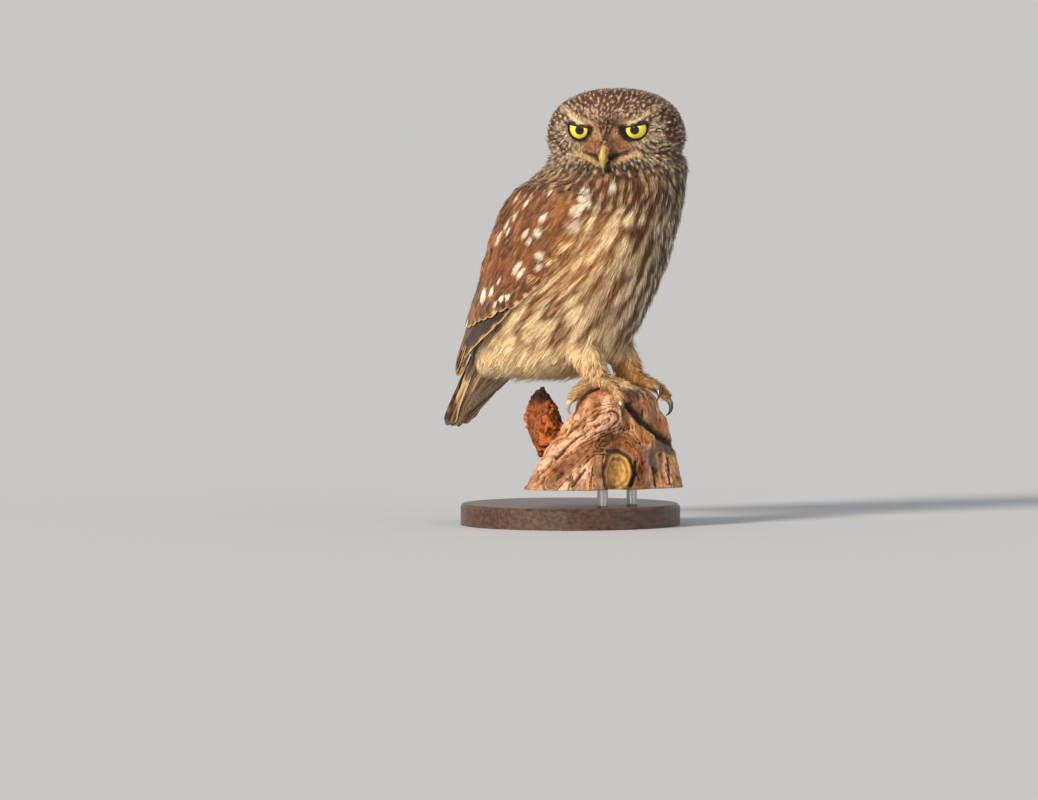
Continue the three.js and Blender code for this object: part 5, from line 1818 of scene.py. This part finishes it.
def make_tail():
    lines = []
    for pair in range(TAIL_PAIRS):
        f = pair / (TAIL_PAIRS - 1)
        for side in (-1, 1):
            root = side * mix(0.8, 4.6, f)
            tip = side * mix(1.6, 11.0, f)
            end = TAIL_LENGTH - 4 * f * f - (0.8 if side > 0 else 0)
            layer = -TAIL_LAYER * pair - (0.3 if side > 0 else 0)
            lines.append(tail_line(root, tip, 6, end, layer, 4.7))

    def colour_at(points, places, feather):
        x, v = np.abs(places[:, 0]), places[:, 1]
        bars = smooth(0.55, 0.9, np.sin(((v + 0.03 * x) * 5.6 + 0.2) * 2 * math.pi))
        bars = bars * smooth(0.08, 0.25, x) * smooth(0.2, 0.4, v)
        pale = np.maximum.reduce([bars, smooth(0.9, 1.0, x) * 0.25, smooth(0.965, 0.99, v)])
        return layered(TAIL_BROWN, (TAIL_DARK, smooth(0.0, 0.8, x) * 0.5), (TAIL_BAR, pale))

    tones = np.random.default_rng(TAIL_SEED).uniform(0.9, 1.1, len(lines))
    make_vanes("tail_feathers", lines, colour_at, tones, TAIL_SEED + 1, "tail")


def vent_line(turn, start, end):
    """A feather's line down the underside. Turn 0 is its lowest line."""
    reach = np.linspace(start, end, 9)
    half = np.interp(reach, VENT_ALONG, VENT_HALF) + 0.3
    depth = np.interp(reach, VENT_ALONG, VENT_DEEP)
    deep = depth + 0.2
    out = -TAIL_LAYER * TAIL_PAIRS - depth - deep * math.cos(turn)
    line = TAIL_ROOT + reach[:, None] * TAIL_ALONG + out[:, None] * TAIL_OUT
    line[:, 0] += half * math.sin(turn)
    up = np.array([math.sin(turn) / half.mean(), 0, 0]) - TAIL_OUT * math.cos(turn) / deep.mean()
    return vane_line(line, np.tile(unit(up), (9, 1)), 3.6)


def make_tail_coverts():
    """Feathers over the root of the tail, from the rump, and under it, from the vent."""
    draw = np.random.default_rng(TAIL_COVERT_SEED)
    lines = []
    for row, (start, end) in enumerate(((-2, 34), (-8, 24), (-13, 15))):
        for across in np.linspace(-8, 8, 6 - row % 2):
            layer = 1.0 + 0.7 * row - 0.1 * abs(across) + draw.uniform(-0.1, 0.1)
            lines.append(tail_line(across * 0.8, across, start, end + draw.uniform(-2, 2), layer, 4.2))
    upper_count = len(lines)
    for start, end, turns in ((44, 79, 9), (36, 68, 8), (28, 57, 9)):
        for turn in np.linspace(-100, 100, turns):
            turn = math.radians(turn + draw.uniform(-3, 3))
            lines.append(vent_line(turn, start, end + draw.uniform(-2, 2)))

    def colour_at(points, places, feather):
        x, v = np.abs(places[:, 0]), places[:, 1]
        over = (feather < upper_count).astype(float)
        line = smooth(0.55, 0.75, x) * 0.75 + smooth(0.2, 0.05, x) * 0.25
        pale = line * (1 - over) + smooth(0.9, 0.98, v) * 0.7 * over
        return layered(TAIL_BROWN, (BACK_BROWN, over), (TAIL_BAR, pale))

    tones = draw.uniform(0.85, 1.12, len(lines))
    make_vanes("tail_coverts", lines, colour_at, tones, TAIL_COVERT_SEED + 1)


def grow_tail_root():
    """Soft feathers of the rump that lie over the roots of the tail's coverts."""
    draw = np.random.default_rng(TAIL_ROOT_SEED)
    count = TAIL_ROOT_TUFTS
    across = draw.uniform(-17, 17, count)
    along = draw.uniform(-20, 10, count) - 6 * smooth(2, 15, np.abs(across)) - draw.uniform(0, 3, count)
    lengths = draw.uniform(8, 13, count) + 7 * smooth(9, 17, np.abs(across))
    out = 3.1 - 0.022 * across**2 - 0.03 * along
    steps = np.linspace(0, 1, COAT_STEPS)[None, :, None] * lengths[:, None, None]
    roots = TAIL_ROOT + along[:, None] * TAIL_ALONG + out[:, None] * TAIL_OUT
    roots[:, 0] += across
    tilt = unit(TAIL_OUT + np.array([1.0, 0, 0]) * 0.05 * across[:, None])
    ups = np.repeat(tilt[:, None], COAT_STEPS, axis=1)
    line = roots[:, None] + TAIL_ALONG * steps - TAIL_OUT * 0.09 * steps
    side = unit(np.cross(ups, np.broadcast_to(TAIL_ALONG, ups.shape)))
    half = draw.uniform(2.2, 3.2, count)
    rise = draw.uniform(1.2, 2.2, count)
    made = tufts({"line": line, "up": ups, "side": side}, 9, 3, half, 0.32, rise, TAIL_ROOT_SEED + 1)

    def lie_at(p):
        return np.broadcast_to(TAIL_ALONG, p.shape)

    coat_piece("coat_tail_root", BODY_KIND, roots, made, lie_at, TAIL_ROOT_SEED + 2, plumage, 0.8)


# Eyes and lids


def fitted_ball(node):
    """Middle and radius of the ball that a node's points lie on."""
    p = node_points(node)
    rows = np.hstack([2 * p, np.ones((len(p), 1))])
    answer = np.linalg.lstsq(rows, np.sum(p * p, axis=1), rcond=None)[0]
    middle = answer[:3]
    return middle, math.sqrt(answer[3] + middle @ middle)


def eye_axes(side, outward_angle):
    """Across, outward and up of an eye or its lids, in the shared directions. Side is 1 for the left."""
    turn, gaze = math.radians(side * outward_angle), math.radians(EYE_GAZE)
    across = np.array([math.cos(turn), math.sin(turn), 0.0])
    level = np.array([math.sin(turn), -math.cos(turn), 0.0])
    above = np.array([0.0, 0.0, 1.0])
    outward = level * math.cos(gaze) - above * math.sin(gaze)
    up = above * math.cos(gaze) + level * math.sin(gaze)
    return [axis @ HEAD_AXES.T for axis in (across, outward, up)]


def make_eye(side, name):
    middle, radius = fitted_ball(f"eye_{name}")
    across, outward, up = eye_axes(side, EYE_LOOK[name])
    ring, segment = np.indices((EYE_RINGS + 1, EYE_SEGMENTS)).reshape(2, -1)
    angle, turn = math.pi * ring / EYE_RINGS, 2 * math.pi * segment / EYE_SEGMENTS
    from_axis = radius * np.sin(angle)
    depth = radius * np.cos(angle) + CORNEA_BULGE * smooth(1.05, 0.2, angle)
    aside, above = from_axis * np.cos(turn), from_axis * np.sin(turn)
    points = middle + outward * depth[:, None] + across * aside[:, None] + up * above[:, None]
    spokes = noise(np.stack([np.cos(turn) * 14, np.sin(turn) * 14, from_axis * 0.5], axis=1))
    front = angle < math.pi / 2
    deep = 0.10 + 0.35 * smooth(PUPIL_RADIUS, IRIS_RADIUS, from_axis) ** 3 + 0.3 * (spokes - 0.5)
    edge = smooth(PUPIL_RADIUS + 0.5, PUPIL_RADIUS, from_axis) * 0.6
    rim = np.where(front, smooth(IRIS_RADIUS - 0.8, IRIS_RADIUS, from_axis), 1.0)
    pupil = np.where(front, smooth(PUPIL_RADIUS + 0.12, PUPIL_RADIUS - 0.12, from_axis), 0.0)
    iris = layered(IRIS_YELLOW, (IRIS_DEEP, deep), (IRIS_DEEP * 0.6, edge))
    faces = grid_faces(EYE_RINGS + 1, EYE_SEGMENTS, closed=True)
    obj = new_object(f"eyeball_{name}", points, faces)
    dress(obj, layered(iris, (EYE_RIM, rim), (PUPIL_BLACK, pupil)), eye_material, "eye", f"eye_{name}")


def lid_edge(turn):
    """Distance of the lids' edge from their axis, by the angle round it from the outer corner."""
    reach = LID_OUTER if math.cos(turn) > 0 else LID_INNER
    round_lid = 1 / math.hypot(math.cos(turn) / reach, math.sin(turn) / LID_LOW)
    rise = math.sin(turn - math.radians(LID_SLANT))
    top = min(LID_TOP / rise, 30.0) if rise > 0.05 else 30.0
    return -math.log(math.exp(-LID_BEND * round_lid) + math.exp(-LID_BEND * top)) / LID_BEND


def lid_rim(turn, name):
    """Width of the black rim, drawn out at the corners and wider above."""
    corner_out = math.exp(-(((turn - math.radians(26)) / 0.34) ** 2))
    corner_in = math.exp(-(((turn - math.radians(185)) / 0.5) ** 2))
    above = max(math.sin(turn), 0.0)
    return LID_RIM + 2.1 * corner_out + LID_CORNER[name] * corner_in + 0.5 * above


def make_lids(side, name):
    """Both lids as one surface from the open eye's edge out under the feathers, black at the edge."""
    middle, radius = fitted_ball(f"eye_{name}")
    across, outward, up = eye_axes(side, LID_OUTWARD)
    points, black, faces = [], [], []
    for s in range(LID_SEGMENTS):
        turn = 2 * math.pi * s / LID_SEGMENTS
        if turn > math.pi * 1.5:
            turn -= 2 * math.pi
        inner, width = lid_edge(turn), lid_rim(turn, name)
        for c in range(LID_SECTIONS):
            t = c / (LID_SECTIONS - 1)
            reach = inner - 0.3 + (LID_REACH + 0.3 - inner) * t**1.3
            from_edge = reach - inner
            height = 0.62 * smooth(-0.35, 0.5, from_edge) + 0.35 * smooth(0.3, 1.3, from_edge)
            on_ball = min(reach, 0.86 * radius)
            depth = math.sqrt(radius**2 - on_ball**2) + height - 0.75 * (reach - on_ball)
            x, z = reach * math.cos(turn) * side, reach * math.sin(turn)
            points.append(middle + outward * depth + across * x + up * z)
            black.append(smooth(width + 0.35, width - 0.35, from_edge))
        for c in range(LID_SECTIONS - 1):
            a, b = s * LID_SECTIONS + c, ((s + 1) % LID_SEGMENTS) * LID_SECTIONS + c
            quad = (a, b, b + 1, a + 1)
            faces.append(quad[::-1] if side > 0 else quad)
    points, black = np.array(points), np.array(black)
    obj = new_object(f"lids_{name}", points, faces)
    # The lids take the plumage's colour darkened to 0.6 as painted shade under their short feathers, and
    # are black at the edge
    colour = blend_colours(plumage(points) * 0.6, LID_BLACK, black)
    dress(obj, colour, lid_material, "eye")
    grow_lid_coat(obj, name, middle, points, black, LID_COAT_SEED)


def grow_lid_coat(obj, name, middle, points, black, seed):
    """Short feathers that hide the lids beyond their black edge."""
    nearest = KDTree(len(points))
    for i, point in enumerate(points):
        nearest.insert(point, i)
    nearest.balance()

    def black_at(p):
        return np.array([black[nearest.find(q)[1]] for q in p.tolist()])

    def keep(p):
        return black_at(p) < 0.35

    def lie_at(p):
        return unit(p - middle) + 0.35 * unit(head_lie(p))

    def colour_at(p, jitter):
        return blend_colours(plumage(p, jitter), LID_BLACK, smooth(0.1, 0.5, at_edge)[made["tuft"]])

    roots, made = fine_tufts(LID_COAT, obj, tree_of(obj), keep, lie_at, FINE_STEPS, seed)
    at_edge = black_at(roots)
    coat_piece(f"coat_lids_{name}", HEAD_KIND, roots, made, lie_at, seed + 3, colour_at, HEAD_SLIP)


# Bill and claws


def make_bill():
    for node in ("bill_upper", "bill_lower"):
        obj = remeshed(f"{node}_horn", [node], BILL_VOXEL, swell=0.0, smoothing=10)
        h = to_head(points_of(obj.data))
        green = smooth(0.8, 2.6, np.abs(h[:, 0])) * 0.7 + 0.2
        root = smooth(-31.5, -28, h[:, 1] - 0.12 * h[:, 2])
        tip = smooth(-15.5, -18, h[:, 2]) * 0.35
        colour = layered(BILL_YELLOW, (BILL_GREEN, green), (BILL_ROOT, root), (BILL_ROOT, tip))
        dress(obj, colour, horn_material, "bill", node)


def grow_bill_feathers(seed):
    """Short feathers over both sides of the bill's upper part, so that its bare part starts narrow."""

    def keep(p):
        h = to_head(p)
        down = BILL_TOP - h[:, 2]
        return (np.abs(h[:, 0]) > 0.1 + BARE_WIDENING * (down - 0.4)) & (down < FEATHERED_LENGTH)

    def lie_at(p):
        return stacked(p, 0.12 * np.sign(to_head(p)[:, 0]), -0.25, -1.0) @ HEAD_AXES.T

    def colour_at(p, jitter):
        h = to_head(p)
        tan = smooth(0.42, 0.62, noise((h + jitter) / 0.9 + 9)) * 0.8
        dark = smooth(3.6, 1.2, BILL_TOP - h[:, 2]) * 0.85
        return layered(LORES_DEEP, (LORES, tan), (RIM_DARK, dark))

    bill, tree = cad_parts["bill_upper"], node_tree(["bill_upper"])
    roots, made = fine_tufts(BILL_COAT, bill, tree, keep, lie_at, FINE_STEPS, seed, sink=0.0)
    coat_piece("bill_feathers", HEAD_KIND, roots, made, lie_at, seed + 3, colour_at, HEAD_SLIP)


def make_claws():
    for node in sorted(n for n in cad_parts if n.startswith("claw_")):
        obj = remeshed(f"{node}_horn", [node], CLAW_VOXEL, swell=0.05, smoothing=4)
        height = points_of(obj.data)[:, 2]
        top, span = height.max(), height.max() - height.min()
        base = smooth(top - 0.45 * span, top, height)
        pale = PALE_CLAW if node.startswith("claw_right_outer") else DARK_CLAW
        colour = blend_colours(CLAW_DARK, CLAW_PALE, np.clip(pale + 0.4 * base - 0.1, 0, 1))
        dress(obj, colour, claw_material, "claw", node)


# Perch: relief and colours follow its ridge, its arch, its knot and the spur behind


def along_line(p, line):
    """Distance of places from a line of points, and how far along the line they lie."""
    distance = np.full(len(p), np.inf)
    place = np.zeros(len(p))
    walked = 0.0
    for start, end in zip(line, line[1:]):
        step = end - start
        length = np.linalg.norm(step)
        t = np.clip((p - start) @ step / length**2, 0, 1)
        apart = np.linalg.norm(p - start - t[:, None] * step, axis=1)
        closer = apart < distance
        distance = np.where(closer, apart, distance)
        place = np.where(closer, walked + t * length, place)
        walked += length
    return distance, place


def ridged(values, width):
    """1 along the middle level of some noise, falling off on both sides of it."""
    return smooth(width, 0.0, np.abs(values - 0.5))


def make_perch():
    obj = remeshed("dead_wood", ["perch"], WOOD_VOXEL, swell=0.0, smoothing=14)
    p = points_of(obj.data)
    tree = tree_of(obj)

    def line_of(corners):
        """Those corners of a line that fall on the wood."""
        seen = (through_picture(tree, x, y) for x, y in corners)
        return np.array([at for at in seen if at is not None])

    def nearest_of(lines):
        return np.minimum.reduce([along_line(p, line_of(line))[0] for line in lines])

    # Distances from what the near side shows, and from the spur
    ridge, ridge_place = along_line(p, line_of(WOOD_RIDGE))
    arch, arch_place = along_line(p, line_of(WOOD_ARCH))
    hollow = nearest_of([WOOD_HOLLOW])
    crack_lines = nearest_of(WOOD_CRACKS)
    grey = nearest_of(WOOD_GREY_PATCHES)
    knot_at = line_of([KNOT])[0]
    knot = np.linalg.norm((p - knot_at) * [1, 1, 1 / KNOT_STRETCH], axis=1)
    knot = knot + 3.0 * (fractal(p / 8.0 + 5, 2) - 0.5)
    knot_share = smooth(KNOT_RADIUS + 1, KNOT_RADIUS - 1, knot)
    knot_rim = np.abs(knot - KNOT_RADIUS - 0.6)
    spur_apart, spur_place = along_line(p, SPUR_LINE)
    spur_length = along_line(SPUR_LINE[-1:], SPUR_LINE)[1][0]
    spur_radius = np.interp(spur_place, np.linspace(0, spur_length, len(SPUR_LINE)), SPUR_RADIUS)
    spur = smooth(2.2, 0.6, spur_apart - spur_radius) * smooth(14, 20, p[:, 1] - 0.3 * p[:, 0])

    # Grain, cracks, pits and flecks
    angle = np.arctan2(p[:, 0] + 4, p[:, 1] - 4 + 0.1 * p[:, 2])
    upright = np.stack([np.cos(angle) * 9, np.sin(angle) * 9, p[:, 2] / 13], axis=1)
    drift = 1.6 * (noise(p / 7.0 + 90) - 0.5)
    bent = stacked(p, ridge / 1.9 + drift, ridge_place / 16, 0.0)
    arched = stacked(p, arch / 1.7 + drift, arch_place / 14, 7.0)
    coarse = fractal(upright * 0.7, 3)
    grain = fractal(upright * [1.7, 1.7, 0.45] + 9, 2)
    grain = mix(grain, fractal(bent, 2), smooth(16, 7, ridge) * (1 - spur))
    grain = mix(grain, fractal(arched, 2), smooth(9, 4, arch) * (1 - spur))
    lumps = fractal(p / 6.5, 4)
    gnarl = fractal(p / 4.2 + 40, 3)
    uneven = gnarl - 0.5
    crack = ridged(grain, 0.045) * smooth(0.3, 0.5, noise(p / 9.0 + 61))
    pits = smooth(0.6, 0.74, fractal(p / 2.1 + 70, 2))
    flecks = smooth(0.56, 0.68, noise(p * [1 / 1.3, 1 / 1.3, 1 / 2.6] + 17))
    line = smooth(1.3, 0.3, crack_lines + 0.7 * uneven)
    rings = 0.5 + 0.5 * np.cos(knot * 2.4 + 5 * uneven)
    holes = ridged(gnarl, 0.09) + pits

    # Relief, which is slight under the toes and at the sawn end
    out = (coarse - 0.5) * 2.6 + (grain - 0.5) * 2.0 + (lumps - 0.5) * 1.8 - crack * 0.9 - pits * 0.8
    out = out + smooth(5.0, 1.0, ridge) * 0.9 - smooth(4.5, 1.0, arch) * 0.9
    out = mix(out, 0.9 - 0.5 * (1 - rings), knot_share)
    out = out - smooth(1.6, 0.3, knot_rim) * 1.2
    out = out - smooth(3.4, 1.0, hollow + 1.2 * uneven) * 2.0 - line * 1.1
    out = mix(out, uneven * 7.0 + (lumps - 0.5) * 3.0 - holes * 1.2, spur)
    toes = smooth(0.5, 4.0, distance_to(node_tree(["foot_right", "foot_left"]), p))
    out = np.clip(out, -2.8, 1.4) * smooth(-56.6, -54.5, p[:, 2]) * mix(0.25, 1, toes)
    raised = np.minimum(out, mix(-0.1, 1.4, toes))
    set_points(obj, p + normals_of(obj.data) * raised[:, None])

    # Colours
    right = smooth(10, 22, p @ view_right) * smooth(-22, -34, p[:, 2])
    knot_dark = np.maximum((1 - rings) * smooth(3.5, 7, knot) * 0.8, flecks * 0.4)
    # Painted shade in the hollow; below, dark in the cracks and pits, partly the dead wood's own dark
    # cracks and partly painted shade in them, and painted shade where the relief sinks
    hollow_shade = smooth(3.4, 1.2, hollow + 1.2 * uneven)
    dark = np.maximum(np.maximum(crack * 0.9, pits * 0.75), np.maximum(line, hollow_shade) * 0.95)
    dark = np.maximum(dark, smooth(-0.9, -2.4, out) * 0.75) * (1 - 0.6 * knot_share)
    colour = layered(
        WOOD_TAN,
        (WOOD_PINK, smooth(0.35, 0.6, lumps)),
        (WOOD_BROWN, smooth(0.56, 0.4, coarse) * 0.6),
        (WOOD_ORANGE, smooth(0.52, 0.7, fractal(p / 9 + 30, 2)) * 0.55),
        (WOOD_YELLOW, right * smooth(0.4, 0.6, grain) * 0.7),
        (WOOD_BROWN, flecks * 0.45),
        (WOOD_PINK, smooth(6.5, 2.5, ridge) * (1 - 0.7 * flecks) * 0.8),
        # Brown band along the arch: the wood's own brown, with painted shade in its groove
        (WOOD_BROWN, smooth(6.0, 2.5, arch + 2.5 * uneven) * 0.75),
        (WOOD_ORANGE, smooth(5.5, 2.0, arch) * smooth(0.5, 0.62, grain) * 0.6),
        (blend_colours(WOOD_YELLOW, WOOD_BROWN, knot_dark), knot_share),
        (WOOD_DARK, smooth(1.5, 0.4, knot_rim) * 0.8),
        (WOOD_GREY, smooth(4.2, 2.4, grey + 2.0 * uneven) * 0.8),
        (WOOD_ORANGE, spur * 0.9),
        (WOOD_BROWN, spur * smooth(0.55, 0.42, gnarl) * 0.6),
        (WOOD_DARK, spur * smooth(-12, -7, p[:, 2]) * 0.95),
        # Painted shade and dark wood in the cracks, pits, hollow and the spur's holes
        (WOOD_DARK, np.maximum(dark, spur * holes * 0.7).clip(0, 1)),
    )
    dress(obj, colour, wood_material, "dead_wood", "perch")


# The pieces, in their order

finish_skin()
for index, region in enumerate(COAT):
    grow_coat(region, COAT_SEED + COAT_SEED_STEP * index)
grow_bristles(BRISTLE_SEED)
for wing in (Wing("right"), Wing("left")):
    make_wing_core(wing)
    grow_coverts(wing, COVERT_SEED + 10 * wing.side)
    grow_wing_edge(wing, WING_EDGE_SEED + 10 * wing.side)
    make_flight(wing, FLIGHT_SEED + wing.side)
make_tail()
make_tail_coverts()
grow_tail_root()
for side, name in ((-1, "right"), (1, "left")):
    make_eye(side, name)
    make_lids(side, name)
make_bill()
grow_bill_feathers(BILL_FEATHER_SEED)
make_claws()
make_perch()
set_material(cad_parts["stand_base"], stand_wood_material())
steel = steel_material()
for rod in ("stand_rod_right", "stand_rod_left"):
    set_material(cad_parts[rod], steel)


# Light and floor


def sun(name, direction, angle, strength, colour):
    """Even light from one side. A wide angle makes it soft."""
    data = bpy.data.lights.new(name, "SUN")
    data.angle = math.radians(angle)
    data.energy = strength
    data.color = colour
    light = bpy.data.objects.new(name, data)
    bpy.context.scene.collection.objects.link(light)
    right, up, away = direction
    towards = view_right * right + view_up * up + view_away * away
    light.rotation_euler = Vector(towards).to_track_quat("Z", "Y").to_euler()


for name, settings in LIGHTS.items():
    sun(name, *settings)

world = bpy.data.worlds.new("studio")
bpy.context.scene.world = world
world.use_nodes = True
world.node_tree.nodes["Background"].inputs["Color"].default_value = WORLD_COLOUR
world.node_tree.nodes["Background"].inputs["Strength"].default_value = WORLD_STRENGTH

pale = {"Base Color": FLOOR_COLOUR, "Roughness": 1.0, "Specular IOR Level": 0.0}
floor_material = Surface("floor_pale", pale).material
bottom = local([list(cad_box[0])])[0][2]
corners = np.array([(-1, -1, 0), (1, -1, 0), (1, 1, 0), (-1, 1, 0)]) * FLOOR_HALF + [0, 0, bottom]
floor = new_object("floor", corners, [(0, 1, 2, 3)], floor_material, smooth_shading=False)

bpy.context.scene.view_settings.view_transform = "Standard"
